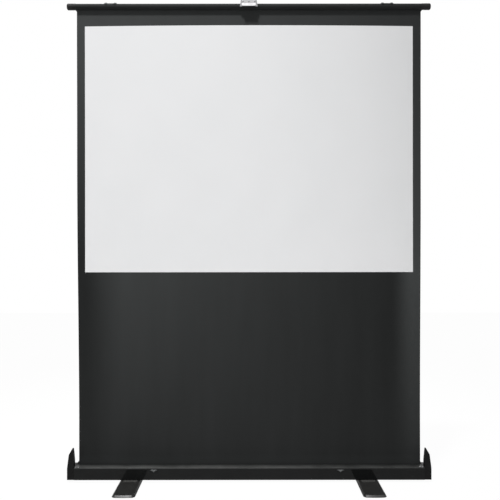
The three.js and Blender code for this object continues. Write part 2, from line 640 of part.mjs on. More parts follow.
// End cap of the top bar with the round knob that drops behind the case's fin
function barKnob(name, side) {
  const { wall, rearRadius } = bar;
  const midZ = barBottom + noseRadius;
  const outline = new THREE.Shape();
  outline.moveTo(noseY, barBottom);
  outline.lineTo(caseRear, barBottom);
  outline.lineTo(caseRear, barTop - rearRadius);
  outline.absarc(caseRear - rearRadius, barTop - rearRadius, rearRadius, 0, Math.PI / 2, false);
  outline.lineTo(noseY, barTop);
  outline.absarc(noseY, midZ, noseRadius, Math.PI / 2, 1.5 * Math.PI, false);
  const inner = barHalf + GAP;
  const plateOuter = inner + knob.plate;
  const plate = prism(outline, "x", ...span(side, inner, plateOuter), 10);
  const r = knob.radius;
  const start = plateOuter - wall;
  const grooveRadius = r - knobGroove.depth;
  const grooveStart = plateOuter + knobGroove.at;
  const grooveEnd = grooveStart + knobGroove.width;
  const end = plateOuter + knob.length;
  const turnedOutline = [[0, start], [r, start], [r, grooveStart], [grooveRadius, grooveStart],
    [grooveRadius, grooveEnd], [r, grooveEnd], [r, end - knob.dome]];
  for (const turn of [0.25, 0.5, 0.75]) {
    const angle = (turn * Math.PI) / 2;
    turnedOutline.push([r - knob.dome * (1 - Math.cos(angle)), end - knob.dome * (1 - Math.sin(angle))]);
  }
  turnedOutline.push([r - knob.dome, end], [0, end]);
  const mirrored = turnedOutline.map(([radius, x]) => [radius, -x]).reverse();
  const outlineOnSide = side > 0 ? turnedOutline : mirrored;
  const grown = moved(turned(outlineOnSide, "x", 28), 0, noseY, midZ);
  return mesh(name, join(plate, grown), mouldedBlack);
}

// Hanger inside the bar's channel that carries the upper arm, its pin, and the riveted strap on the bar
function hangerMeshes(name, side) {
  const layer = layers[`${name}Hanger`];
  const upper = layers[`${name}Upper`];
  const x = side * arm.x;
  const half = hanger.halfWidth;
  const r = arm.halfWidth;
  const flangeBottom = flangeTop - hanger.flange;
  const outline = new THREE.Shape();
  outline.moveTo(half, flangeTop);
  outline.lineTo(-half, flangeTop);
  outline.lineTo(-half, barBottom);
  outline.lineTo(-r, topPivotZ);
  outline.absarc(0, topPivotZ, r, Math.PI, 2 * Math.PI, false);
  outline.lineTo(half, barBottom);
  const cheek = prism(outline, "y", ...layer);
  const shelf = block([-half, half], [rivetY - hanger.shelfAhead, layer[1]], [flangeBottom, flangeTop]);
  const holes = [
    moved(rodAlong("y", armPin.radius + PIN_PLAY, layer[0] - PAST, layer[1] + PAST, 20), 0, 0, topPivotZ),
    moved(rodAlong("z", rivet.radius + PIN_PLAY, flangeBottom - PAST, flangeTop + PAST, 16), 0, rivetY, 0),
  ];
  const frontSide = side < 0;
  const headNear = frontSide ? layer[1] + GAP : layer[0] - GAP;
  const { headHeight } = armPin;
  const headSpan = frontSide ? [headNear, headNear + headHeight] : [headNear - headHeight, headNear];
  const pinEnd = frontSide ? upper[0] + GAP : upper[1] - GAP;
  const pin = headedPin("y", armPin.radius, armPin.headRadius, headSpan, pinEnd);
  const strapTop = barTop + GAP + strap.thickness;
  const rivetEnds = [flangeBottom - rivet.tail, strapTop + GAP];
  const rivetShape = domeHead("z", rivet.radius, rivet.headRadius, rivet.headHeight, ...rivetEnds);
  const parts = [
    mesh(`${name}_arm_hanger`, cut(join(cheek, shelf), holes), greySteel),
    mesh(`${name}_top_pin`, moved(pin, 0, 0, topPivotZ), brightSteel),
    mesh(`${name}_bar_strap`, strapGeometry(), greySteel),
    mesh(`${name}_hanger_rivet`, moved(rivetShape, 0, rivetY, 0), brightSteel),
  ];
  return group(parts, x);
}

// The strap follows the nose of the bar and lies on its top, with a raised rib near each end
function strapGeometry() {
  const midZ = barBottom + noseRadius;
  const inner = noseRadius + GAP;
  const strapRear = rivetY + strap.behindRivet;
  const wrapped = Math.PI / 2 + THREE.MathUtils.degToRad(strap.wrap);
  const sectionOf = (thickness) => {
    const outer = inner + thickness;
    const s = new THREE.Shape();
    s.moveTo(noseY + inner * Math.cos(wrapped), midZ + inner * Math.sin(wrapped));
    s.absarc(noseY, midZ, inner, wrapped, Math.PI / 2, true);
    s.lineTo(strapRear, midZ + inner);
    s.lineTo(strapRear, midZ + outer);
    s.absarc(noseY, midZ, outer, Math.PI / 2, wrapped, false);
    return s;
  };
  const plate = prism(sectionOf(strap.thickness), "x", -strap.halfWidth, strap.halfWidth, 6);
  const ribEnd = rivetY - rivet.headRadius - PAST;
  const ribs = [-1, 1].map((end) => {
    const across = [end * strapRib.x - strapRib.width / 2, end * strapRib.x + strapRib.width / 2];
    const rib = prism(sectionOf(strap.thickness + strapRib.height), "x", ...across, 6);
    const inFront = block(across, [barFront - noseRadius, ribEnd], [barBottom, barTop + noseRadius]);
    return common(rib, inFront);
  });
  const hole = rodAlong("z", rivet.radius + PIN_PLAY, barTop, barTop + GAP + strap.thickness + PAST, 16);
  return cut(join(plate, ...ribs), [moved(hole, 0, rivetY, 0)]);
}

// Lift handle in the middle of the bar: a moulded saddle with a finger pocket, and a bright pull plate
function handleMeshes() {
  const top = barTop + handle.rise;
  const bottom = barTop - handle.drop;
  const front = barFront - handle.ahead;
  const midZ = barBottom + noseRadius;
  const clear = noseRadius + GAP;
  const down = Math.asin((bottom - midZ) / clear);
  const sideView = new THREE.Shape();
  sideView.moveTo(front, bottom);
  sideView.lineTo(noseY - clear * Math.cos(down), bottom);
  sideView.absarc(noseY, midZ, clear, Math.PI - down, Math.PI / 2, true);
  sideView.lineTo(handleRear, barTop + GAP);
  sideView.lineTo(handleRear, top);
  sideView.lineTo(front, top);
  const [wide, narrow] = [handle.width / 2, handle.topWidth / 2];
  const frontView = polygon([[-wide, bottom], [wide, bottom], [narrow, top], [-narrow, top]]);
  const saddle = common(
    prism(sideView, "x", -wide, wide, 8),
    prism(frontView, "y", front - PAST, handleRear + PAST),
  );
  const pocketHalf = narrow - handle.wall;
  const pocket = block(
    [-pocketHalf, pocketHalf],
    [front + handle.wall, handleRear + PAST],
    [barTop + GAP + handle.wall, top + PAST],
  );
  const rivetZ = barTop + gripRivet.above;
  const places = [-1, 0, 1].map((i) => i * gripRivet.spacing);
  const plateRear = front - GAP;
  const plateFront = plateRear - grip.sheet;
  const holeEnd = front + gripRivet.depth;
  const holes = places.map((x) => {
    return moved(rodAlong("y", gripRivet.radius + PIN_PLAY, plateFront - PAST, holeEnd, 12), x, 0, rivetZ);
  });
  const halfGrip = grip.width / 2;
  const lipTop = barTop - grip.lipBelow;
  const foldUnder = top + GAP;
  const gripSection = polygon([
    [plateFront, lipTop], [plateFront - grip.flare, bottom], [plateRear - grip.flare, bottom],
    [plateRear, lipTop], [plateRear, foldUnder], [handleRear, foldUnder],
    [handleRear, foldUnder + grip.sheet], [plateFront, foldUnder + grip.sheet],
  ]);
  const plate = prism(gripSection, "x", -halfGrip, halfGrip);
  const rivets = places.map((x, i) => {
    const ends = [GAP - holeEnd, GAP - plateFront];
    const shape = domeHead("y", gripRivet.radius, gripRivet.headRadius, gripRivet.headHeight, ...ends, 14);
    return mesh(`handle_rivet_${i + 1}`, moved(shape.rotateZ(Math.PI), x, 0, rivetZ), greySteel);
  });
  return [
    mesh("handle_saddle", cut(saddle, [pocket, ...holes]), mouldedBlack),
    mesh("handle_grip", cut(plate, holes), chrome),
    ...rivets,
  ];
}

// One swivel foot with its bracket, bolt and rubber pads; its own origin is on the floor under the bolt
function footMeshes(name) {
  const half = { x: foot.width / 2, y: foot.length / 2 };
  const top = footTop;
  const outer = prism(roundedRect(-half.x, -half.y, half.x, half.y, foot.corner), "z", foot.lift, top, 6);
  const inside = { x: half.x - foot.wall, y: half.y - foot.wall };
  const hollowShape = roundedRect(-inside.x, -inside.y, inside.x, inside.y, foot.corner - foot.wall);
  const hollow = prism(hollowShape, "z", foot.lift - PAST, top - foot.sheet, 6);
  const hole = rodAlong("z", footBolt.radius + PIN_PLAY, foot.lift, top + PAST, 20);
  const tray = mesh(`${name}_foot`, cut(outer, [hollow, hole]), footBlack);
  const padTop = top - foot.sheet - GAP;
  const pads = [["front", -1], ["rear", 1]].map(([end, way]) => {
    const near = inside.y - footPad.inset - footPad.length;
    const far = inside.y - footPad.inset;
    const ends = way > 0 ? [near, far] : [-far, -near];
    const side = inside.x - footPad.inset;
    const outline = roundedRect(-side, ends[0], side, ends[1], footPad.corner);
    return mesh(`${name}_foot_pad_${end}`, prism(outline, "z", 0, padTop, 4), blackRubber);
  });
  return [tray, ...pads];
}

function footMountMeshes(name) {
  const bottom = footTop + GAP;
  const plateTop = bottom + footBracket.thickness;
  const halfY = caseDepth / 2 + footBracket.ahead;
  const halfX = footBracket.width / 2;
  const plateOutline = roundedRect(-halfX, -halfY, halfX, halfY, footBracket.corner);
  const plate = prism(plateOutline, "z", bottom, plateTop, 4);
  const bossTop = caseFloor;
  const boss = rodAlong("z", footBracket.bossRadius, bottom, bossTop);
  const bore = rodAlong("z", footBolt.radius + PIN_PLAY, bottom - PAST, bossTop + PAST, 20);
  const headTop = footTop - foot.sheet - GAP;
  const headSpan = [headTop - footBolt.headHeight, headTop];
  const bolt = headedPin("z", footBolt.radius, footBolt.headRadius, headSpan, bossTop);
  return [
    mesh(`${name}_foot_bracket`, cut(join(plate, boss), [bore]), greySteel),
    mesh(`${name}_foot_bolt`, bolt, brightSteel),
  ];
}

// The whole screen
const screen = new THREE.Group();
screen.add(caseBase(), caseFrontCover(), rollerMeshes(), rollerShafts(), ...fabricMeshes());
screen.add(...topBarMeshes(), ...handleMeshes());
for (const [name, side] of sides) {
  screen.add(endCap(`${name}_end_cap`, side), ...capScrews(side, name));
  const catchHeight = caseTop - wingCatch.belowTop;
  screen.add(group([wingCatchMesh(`${name}_wing_catch`)], side * wingCatch[name], 0, catchHeight));
  screen.add(group([...footMeshes(name), ...footMountMeshes(name)], side * foot.x));
  screen.add(baseBracketMeshes(name, side), ...armPair(name, side));
  screen.add(barKnob(`${name}_bar_knob`, side), hangerMeshes(name, side));
}

export default screen;
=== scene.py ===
"""Looks of a pull-up floor projection screen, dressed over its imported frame.

Metres, +Z up, and the viewer stands on the -Y side. Sizes in millimetres are multiplied by MM.
"""
import json
import math

import bmesh
import bpy
from mathutils import Matrix, Vector

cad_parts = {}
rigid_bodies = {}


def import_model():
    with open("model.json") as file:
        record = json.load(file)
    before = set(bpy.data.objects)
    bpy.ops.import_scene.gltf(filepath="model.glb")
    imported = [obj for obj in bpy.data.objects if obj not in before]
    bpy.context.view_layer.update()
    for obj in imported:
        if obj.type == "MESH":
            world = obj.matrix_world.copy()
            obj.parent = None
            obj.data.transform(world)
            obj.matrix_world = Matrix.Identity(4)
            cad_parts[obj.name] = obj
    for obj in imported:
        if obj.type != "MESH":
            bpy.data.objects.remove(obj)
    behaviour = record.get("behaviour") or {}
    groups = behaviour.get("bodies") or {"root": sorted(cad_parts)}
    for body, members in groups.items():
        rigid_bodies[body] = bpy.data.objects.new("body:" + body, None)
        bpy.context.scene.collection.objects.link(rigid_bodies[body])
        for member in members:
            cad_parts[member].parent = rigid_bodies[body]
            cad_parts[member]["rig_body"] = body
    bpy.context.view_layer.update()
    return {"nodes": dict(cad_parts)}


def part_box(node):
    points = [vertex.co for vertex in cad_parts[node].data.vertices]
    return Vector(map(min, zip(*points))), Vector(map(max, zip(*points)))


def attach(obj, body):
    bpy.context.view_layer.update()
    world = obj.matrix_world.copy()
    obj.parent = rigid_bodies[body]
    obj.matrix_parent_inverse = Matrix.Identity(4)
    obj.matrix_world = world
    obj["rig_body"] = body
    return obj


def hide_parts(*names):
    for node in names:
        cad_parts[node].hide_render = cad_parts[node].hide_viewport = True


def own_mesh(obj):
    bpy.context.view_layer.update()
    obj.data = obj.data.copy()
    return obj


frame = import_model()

MM = 0.001
scene = bpy.context.scene

# Sizes of the cloth
PICTURE_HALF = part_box("projection_surface")[1].x
PICTURE_LOW, PICTURE_HIGH = (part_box("projection_surface")[i].z for i in (0, 1))
CLOTH_LOW, CLOTH_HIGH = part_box("screen_fabric")
CLOTH_STEP = 24 * MM
EDGE_CURL = {"depth": 2.0 * MM, "width": 70 * MM, "rim": 14 * MM}
TAPER = {"left": 9 * MM, "right": 5 * MM, "full": 0.2, "none": 1.5}
RIPPLE = {"depth": 0.35 * MM, "across": 310 * MM, "up": 870 * MM, "sway": 0.35}
DROOP = {"middle": 0.8 * MM, "sides": 5.4 * MM}
SLACK = {"low": 0.10, "low_full": 0.40, "high_full": 1.85, "high": 2.17}
TAIL = {"thickness": 0.45 * MM, "length": 150 * MM, "laps": 2.1}

# Painted light and shade in the tones: each row has a start and an end, which are places on an axis, and
# the share at each of them. The case's painted highlight on faces that look up, and its handled edge, go by
# how far the surface faces up instead.
# Cloth: painted light at the top, most to the left, and in a band below the picture; painted shade towards
# the bottom and along the left hem; a painted highlight along the right hem; a painted lighter band just
# above the case, against its shade.
CLOTH_PAINTED_LIGHT = {"above": ("X", CLOTH_LOW.x, CLOTH_HIGH.x, 0.89, 0.37), "below": ("X", -0.58, 0.68, 0.7, 0.02),
              "left hem": ("X", -0.82, -0.60, 0.0, 1.0), "right hem": ("X", 0.69, 0.80, 0.0, 0.95),
              "drop": ("Z", 0.10, 1.0, 0.13, 1.0), "rise": ("Z", 1.05, 2.05, 0.0, 1.0),
              "painted_light": ("Z", 0.125, 0.078, 0.0, 0.22)}
# Case: a painted highlight where it faces up, and painted shade beside the slot and towards the right.
CASE_PAINTED_LIGHT = {"lit_top": (0.62, 0.95, 0.1, 1.7), "shaded_by_slot": (-50 * MM, -12 * MM, 1.0, 0.25),
             "dimmed_right": (0.0, 0.8, 1.0, 0.55)}
CASE_HANDLED = {"From Min": 0.1, "From Max": 0.6}

# Sizes of the edges, fasteners and springs
WELD = 0.001 * MM
FLAT = math.radians(0.4)
SHARP = math.radians(32)
CREASE = math.radians(50)
SIDES = (("left", -1), ("right", 1))
CAP_SCREW = {"radius": 4.5 * MM, "height": 3.0 * MM, "shank": 2.0 * MM, "spacing": 14 * MM}
HANGER_RIVET = {"radius": 8.0 * MM, "height": 3.5 * MM, "shank": 4.0 * MM}
GRIP_RIVET = {"radius": 3.8 * MM, "height": 2.0 * MM, "shank": 1.8 * MM, "spacing": 28.5 * MM}
# Shares of a fastener's radius, height and shank; the sweep of its dome is in degrees
HEAD = {"rim": 0.25, "seat": 0.97, "seat_rise": 0.4, "sweep": 78, "tip": 0.8, "tip_rise": 0.2}
CROSS = {"reach": 0.55, "slot": 0.11, "depth": 0.55}
FOOT = {"corner": 16 * MM, "wall": 3 * MM, "sheet": 2 * MM, "lip_height": 8.5 * MM, "lip_depth": 7.3 * MM,
        "bow": 4 * MM, "bow_steps": 8, "edge": 0.8 * MM}
SLAT = {"thickness": 2.5 * MM, "count": 6, "clear": 1.5 * MM, "edge": 0.5 * MM, "spread": 0.66}
GRIP = {"sheet": 2.0 * MM, "bend": 4.5 * MM, "flare": 8 * MM, "lip": 13.4 * MM, "corner": 5 * MM,
        "lip_bend": 5 * MM, "lip_round": 1.6 * MM, "edge": 0.45 * MM}
ELBOW_SPRING = {"turns": 3.0, "start_radius": 7.6 * MM, "end_radius": 20 * MM, "strip_thickness": 1.2 * MM}
ELBOW_RIB = {"inner": 9 * MM, "outer": 20 * MM, "half": 0.7 * MM, "rise": 0.3 * MM, "edge": 0.2 * MM,
             "count": 16}
ROLLER_SPRING = {"wire": 2.0 * MM, "turns": 9.0}

# Camera, lamps and floor
CAMERA_PLACE = Vector((0.0047, -3.4, 1.1136))
CAMERA_ROLL = -0.001
FOCAL_PIXELS, FRAME_PIXELS, SENSOR_MM = 698.2, 500, 36
KEY = {"from": Vector((-0.19, -0.43, 1.0)), "at": Vector((0, 0, 1.75)), "aim": Vector((-0.5, 0, 1.75)),
       "away": 14.4, "power": 11700, "cone": 0.32, "size": 0.8}
FILL = {"from": Vector((0.5, 1.0, 0.8)), "power": 0.6, "angle": 0.5}
AMBIENT = 0.36
FLOOR = {"half": 9.0, "tone": "#f2f2f2", "white": 0.97}


# Node and colour tools
def linear(code):
    """The linear colour, with alpha 1, of an sRGB hex value."""
    shares = [int(code[i : i + 2], 16) / 255 for i in (1, 3, 5)]
    return [s / 12.92 if s <= 0.04045 else ((s + 0.055) / 1.055) ** 2.4 for s in shares] + [1.0]


def add_node(tree, kind, values=None, links=None, **settings):
    """Adds a node with its settings, the values of its inputs and the outputs linked to them."""
    node = tree.nodes.new(kind)
    for name, value in settings.items():
        setattr(node, name, value)
    for socket, value in (values or {}).items():
        node.inputs[socket].default_value = value
    for socket, source in (links or {}).items():
        tree.links.new(source, node.inputs[socket])
    return node


def start_finish(name):
    """An empty material and its tree, with the object's own coordinates in metres."""
    finish = bpy.data.materials.new(name)
    finish.use_nodes = True
    tree = finish.node_tree
    tree.nodes.clear()
    return finish, tree, add_node(tree, "ShaderNodeTexCoord").outputs["Object"]


def close_finish(finish, shade, tones, polish, relief, depth, dulled=None, **shader):
    """Ends a material. Shade, from 0 to 1, moves the colour between two tones and, unless dulled is given for
    that, the roughness between two values. Relief raises the surface by up to depth."""
    tree = finish.node_tree
    dulled = dulled or shade
    tone = add_node(tree, "ShaderNodeMix", {6: linear(tones[0]), 7: linear(tones[1])}, {0: shade},
                    data_type="RGBA")
    rough = add_node(tree, "ShaderNodeMapRange", {"To Min": polish[0], "To Max": polish[1]},
                     {"Value": dulled})
    bump = add_node(tree, "ShaderNodeBump", {"Strength": 1.0, "Distance": depth}, {"Height": relief})
    surface = add_node(tree, "ShaderNodeBsdfPrincipled", shader, {
        "Base Color": tone.outputs[2], "Roughness": rough.outputs[0], "Normal": bump.outputs[0]})
    add_node(tree, "ShaderNodeOutputMaterial", links={"Surface": surface.outputs[0]})
    return finish


# Finishes of the metal pieces
def gloss_lacquer():
    # Gloss black lacquer sprayed on an aluminium extrusion: deep and mirror-like, with a faint orange peel
    # (2.5 mm) over die lines that run along the case. Where it faces up it is painted paler in clouds, a
    # painted highlight for the lit top; beside the slot it is painted darker, a painted shade, and it is
    # painted dimmer to the right. Handling has dulled the rounded front edge.
    finish, tree, place = start_finish("black_gloss_lacquer_on_extrusion")
    along = add_node(tree, "ShaderNodeMapping", {"Scale": (0.01, 1, 1)}, {"Vector": place})
    lines = add_node(tree, "ShaderNodeTexNoise", {"Scale": 1 / (1.6 * MM), "Detail": 2},
                     {"Vector": along.outputs[0]})
    peel = add_node(tree, "ShaderNodeTexNoise", {"Scale": 1 / (2.5 * MM), "Detail": 1}, {"Vector": place})
    cloud = add_node(tree, "ShaderNodeTexNoise", {"Scale": 1 / (90 * MM), "Detail": 6}, {"Vector": place})
    facing = add_node(tree, "ShaderNodeNewGeometry").outputs["Normal"]
    upward = add_node(tree, "ShaderNodeSeparateXYZ", links={0: facing}).outputs["Z"]
    axes = add_node(tree, "ShaderNodeSeparateXYZ", links={0: place}).outputs
    # Painted light: paler where the case faces up, with painted shade beside the slot and to the right
    painted_light = cloud.outputs[0]
    for name, source in (("lit_top", upward), ("shaded_by_slot", axes["Y"]), ("dimmed_right", axes["X"])):
        start, end, first, last = CASE_PAINTED_LIGHT[name]
        share = add_node(tree, "ShaderNodeMapRange", {"From Min": start, "From Max": end, "To Min": first,
                                                      "To Max": last}, {"Value": source})
        painted_light = add_node(tree, "ShaderNodeMath", links={0: painted_light, 1: share.outputs[0]},
                        operation="MULTIPLY").outputs[0]
    handled = add_node(tree, "ShaderNodeMapRange", CASE_HANDLED, {"Value": upward})
    relief = add_node(tree, "ShaderNodeMix", {0: 0.35}, {2: peel.outputs[0], 3: lines.outputs[0]})
    return close_finish(finish, painted_light, ("#0c0d0d", "#464746"), (0.05, 0.5), relief.outputs[0], 0.012 * MM,
                        handled.outputs[0], **{"Specular IOR Level": 0.12})


def satin_anodising(name, tones, polish, stretch, gloss):
    # Black anodised aluminium: a satin black with fine drawing lines along the profile (0.6 mm apart on the
    # real one, drawn 1.4 mm apart so that they show).
    finish, tree, place = start_finish(name)
    along = add_node(tree, "ShaderNodeMapping", {"Scale": stretch}, {"Vector": place})
    lines = add_node(tree, "ShaderNodeTexNoise", {"Scale": 1 / (1.4 * MM), "Detail": 3},
                     {"Vector": along.outputs[0]})
    cloud = add_node(tree, "ShaderNodeTexNoise", {"Scale": 1 / (60 * MM), "Detail": 4}, {"Vector": place})
    shade = add_node(tree, "ShaderNodeMix", {0: 0.5}, {2: lines.outputs[0], 3: cloud.outputs[0]})
    return close_finish(finish, shade.outputs[0], tones, polish, lines.outputs[0], 0.015 * MM,
                        **{"Specular IOR Level": gloss})


def powder_coat(name, tones):
    # Powder coat on pressed steel: a fine pebble (1.3 mm) that breaks the highlight up.
    finish, tree, place = start_finish(name)
    pebble = add_node(tree, "ShaderNodeTexNoise", {"Scale": 1 / (1.3 * MM), "Detail": 2}, {"Vector": place})
    scuff = add_node(tree, "ShaderNodeTexNoise", {"Scale": 1 / (35 * MM), "Detail": 7}, {"Vector": place})
    return close_finish(finish, scuff.outputs[0], tones, (0.3, 0.5), pebble.outputs[0], 0.03 * MM,
                        **{"Specular IOR Level": 0.35})


def metal_finish(name, tones, polish, grain):
    # Plated, blued, cast or drawn metal: its tone wanders with the plating or the casting (grain, in
    # millimetres), and fine handling scratches break its highlights.
    finish, tree, place = start_finish(name)
    bloom = add_node(tree, "ShaderNodeTexNoise", {"Scale": 1 / (grain * MM), "Detail": 4}, {"Vector": place})
    slanted = add_node(tree, "ShaderNodeMapping", {"Rotation": (0.3, 0.5, 0.7), "Scale": (0.04, 1, 1)},
                       {"Vector": place})
    scratch = add_node(tree, "ShaderNodeTexNoise", {"Scale": 1 / (0.9 * MM), "Detail": 3},
                       {"Vector": slanted.outputs[0]})
    return close_finish(finish, bloom.outputs[0], tones, polish, scratch.outputs[0], 0.006 * MM, Metallic=1.0)


# Finishes of the plastic, rubber and cloth
def moulded_plastic(name, tones):
    # ABS moulded in a spark-eroded tool: a matt, even grain (0.5 mm, drawn 1 mm) over a dark black.
    finish, tree, place = start_finish(name)
    grain = add_node(tree, "ShaderNodeTexVoronoi", {"Scale": 1 / (1.0 * MM)}, {"Vector": place})
    flow = add_node(tree, "ShaderNodeTexNoise", {"Scale": 1 / (28 * MM), "Detail": 3}, {"Vector": place})
    return close_finish(finish, flow.outputs[0], tones, (0.4, 0.55), grain.outputs[0], 0.02 * MM,
                        **{"Specular IOR Level": 0.07})


def cured_rubber():
    # Cured rubber: dull, dark, with a chalky bloom in patches and a dry grain (0.8 mm).
    finish, tree, place = start_finish("black_rubber_cured")
    grain = add_node(tree, "ShaderNodeTexNoise", {"Scale": 1 / (0.8 * MM), "Detail": 3}, {"Vector": place})
    bloom = add_node(tree, "ShaderNodeTexNoise", {"Scale": 1 / (22 * MM), "Detail": 5}, {"Vector": place})
    return close_finish(finish, bloom.outputs[0], ("#101010", "#1d1d1c"), (0.7, 0.92), grain.outputs[0],
                        0.05 * MM)


def woven_cloth():
    # Black coated fibreglass cloth: warp and weft (0.6 mm apart on the real one, drawn 1.8 mm apart so that
    # they show up close) and slow streaks from the loom. Its tone carries painted light and shade: painted
    # lighter at the top, most to the left, and in a broad band below the picture left of the middle, painted
    # darker towards the bottom, a painted shade along the left hem, a painted highlight along the right hem,
    # and a painted lighter band just above the case against the case's shade.
    finish, tree, place = start_finish("black_fibreglass_cloth_woven")
    weave = {"Scale": math.tau / 20 / (1.8 * MM), "Distortion": 0.6}
    warp = add_node(tree, "ShaderNodeTexWave", weave, {"Vector": place}, bands_direction="X")
    weft = add_node(tree, "ShaderNodeTexWave", weave, {"Vector": place}, bands_direction="Z")
    threads = add_node(tree, "ShaderNodeMath", links={0: warp.outputs[1], 1: weft.outputs[1]},
                       operation="MAXIMUM")
    hang = add_node(tree, "ShaderNodeMapping", {"Scale": (1, 1, 0.12)}, {"Vector": place})
    streak = add_node(tree, "ShaderNodeTexNoise", {"Scale": 1 / (70 * MM), "Detail": 5},
                      {"Vector": hang.outputs[0]})
    wear = add_node(tree, "ShaderNodeMix", {0: 0.4}, {2: streak.outputs[0], 3: threads.outputs[0]})
    axes = add_node(tree, "ShaderNodeSeparateXYZ", links={0: place}).outputs
    painted_light_share = {}
    # Painted light and shade across and up the cloth, one row at a time
    for name, (axis, start, end, first, last) in CLOTH_PAINTED_LIGHT.items():
        share = add_node(tree, "ShaderNodeMapRange", {"From Min": start, "From Max": end, "To Min": first,
                                                      "To Max": last}, {"Value": axes[axis]},
                         interpolation_type="SMOOTHSTEP" if "hem" in name else "LINEAR")
        painted_light_share[name] = share.outputs[0]
    band = add_node(tree, "ShaderNodeMath", links={0: painted_light_share["below"], 1: painted_light_share["left hem"]},
                    operation="MULTIPLY")
    rim = add_node(tree, "ShaderNodeMath", links={0: band.outputs[0], 1: painted_light_share["right hem"]}, operation="ADD")
    below = add_node(tree, "ShaderNodeMath", links={0: rim.outputs[0], 1: painted_light_share["drop"]}, operation="MULTIPLY")
    # A painted lighter band just above the case, against the shade that the case casts
    lit_above_case = add_node(tree, "ShaderNodeMath", links={0: below.outputs[0], 1: painted_light_share["painted_light"]}, operation="ADD")
    painted_light_mix = add_node(tree, "ShaderNodeMix", links={0: painted_light_share["rise"], 2: lit_above_case.outputs[0], 3: painted_light_share["above"]})
    shade = add_node(tree, "ShaderNodeMix", {0: 0.2}, {2: painted_light_mix.outputs[0], 3: wear.outputs[0]})
    return close_finish(finish, shade.outputs[0], ("#121313", "#434545"), (0.5, 0.62), threads.outputs[0],
                        0.05 * MM, **{"Specular IOR Level": 0.1})


def white_coating():
    # Matt white PVC coating: even and chalky, with a very fine emboss (0.9 mm) and a faint unevenness.
    finish, tree, place = start_finish("white_pvc_coating_embossed")
    emboss = add_node(tree, "ShaderNodeTexNoise", {"Scale": 1 / (0.9 * MM), "Detail": 2}, {"Vector": place})
    cloud = add_node(tree, "ShaderNodeTexNoise", {"Scale": 1 / (420 * MM), "Detail": 2}, {"Vector": place})
    return close_finish(finish, cloud.outputs[0], ("#e6e7e8", "#ececed"), (0.78, 0.9), emboss.outputs[0],
                        0.012 * MM, **{"Specular IOR Level": 0.2})


LACQUER = gloss_lacquer()
BAR_SATIN = satin_anodising("black_satin_anodised_bar", ("#282929", "#343535"), (0.5, 0.62),
                            (0.012, 1, 1), 0.03)
ARM_SATIN = satin_anodising("black_satin_anodised_arm", ("#2b2d2e", "#3b3d3e"), (0.34, 0.48),
                            (0.3, 1, 0.12), 0.4)
POWDER = powder_coat("black_powder_coat_on_pressed_steel", ("#191918", "#272726"))
BRACKET_GREY = powder_coat("dark_grey_powder_coat_on_pressed_steel", ("#333332", "#454543"))
ABS = moulded_plastic("black_abs_moulded_grain", ("#101010", "#181818"))
KNOB_ABS = moulded_plastic("worn_black_abs_moulded_grain", ("#282828", "#343434"))
RUBBER = cured_rubber()
CLOTH = woven_cloth()
WHITE = white_coating()
NICKEL = metal_finish("satin_nickel_plated_steel", ("#c0bfc1", "#d0cfd1"), (0.15, 0.22), 14)
ZINC = metal_finish("bright_zinc_plated_steel", ("#b4b5b3", "#cfcfcc"), (0.22, 0.36), 6)
SCREW_NICKEL = metal_finish("dull_nickel_plated_steel", ("#78787a", "#929294"), (0.42, 0.54), 4)
BLACK_ZINC = metal_finish("black_zinc_plated_steel", ("#2f3131", "#474949"), (0.4, 0.55), 6)
DARK_ZINC = metal_finish("dark_zinc_plated_steel", ("#595b5b", "#757777"), (0.34, 0.5), 6)
SADDLE_ZINC = metal_finish("die_cast_zinc_saddle", ("#8c8c8e", "#a2a2a4"), (0.4, 0.5), 6)
SPRING_STEEL = metal_finish("blued_spring_steel", ("#3a3f46", "#5c626a"), (0.25, 0.4), 9)
ALUMINIUM = metal_finish("mill_finish_aluminium_tube", ("#a6a8aa", "#c4c6c8"), (0.32, 0.48), 25)


# Mesh tools
def merged_copy(node):
    """A CAD node's triangles as one welded shell, with its flat faces whole again."""
    shell = bmesh.new()
    shell.from_mesh(frame["nodes"][node].data)
    bmesh.ops.remove_doubles(shell, verts=shell.verts, dist=WELD)
    bmesh.ops.dissolve_limit(shell, angle_limit=FLAT, verts=shell.verts, edges=shell.edges)
    return shell


def soften(shell, width, segments=2, where=None):
    """Rounds the sharp edges of a shell, or those of them that where picks."""
    sharp = [e for e in shell.edges if e.is_manifold and e.calc_face_angle() > SHARP]
    if where:
        sharp = [e for e in sharp if where(e)]
    bmesh.ops.bevel(shell, geom=sharp, offset=width, offset_type="OFFSET", segments=segments, profile=0.5,
                    affect="EDGES", clamp_overlap=True)
    bmesh.ops.remove_doubles(shell, verts=shell.verts, dist=WELD)
    bmesh.ops.dissolve_degenerate(shell, dist=WELD, edges=shell.edges)
    return shell


def object_of(name, shell, *finishes):
    """A new object with the shell as its mesh."""
    mesh = bpy.data.meshes.new(name)
    shell.to_mesh(mesh)
    shell.free()
    for finish in finishes:
        mesh.materials.append(finish)
    made = bpy.data.objects.new(name, mesh)
    scene.collection.objects.link(made)
    return made


def plain_mesh(made):
    """The object's mesh with its modifiers worked in, which are then removed."""
    bpy.context.view_layer.update()
    baked = bpy.data.meshes.new_from_object(made.evaluated_get(bpy.context.evaluated_depsgraph_get()))
    made.modifiers.clear()
    made.data = baked
    return made


def smooth(made):
    """Smooth shading that keeps the flat faces flat and the true creases sharp."""
    made.data.shade_smooth()
    made.data.set_sharp_from_angle(angle=CREASE)
    weighted = made.modifiers.new("flat_faces", "WEIGHTED_NORMAL")
    weighted.keep_sharp = True
    return plain_mesh(made)


def mount(made, body, slot, *nodes):
    """Lets a finished piece ride on its body and hides the CAD nodes that it stands for. The finish slot is
    not used.
    """
    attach(made, body)
    if nodes:
        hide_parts(*nodes)
    return made


def body_of(node):
    """The body that a CAD node rides on."""
    return frame["nodes"][node]["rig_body"]


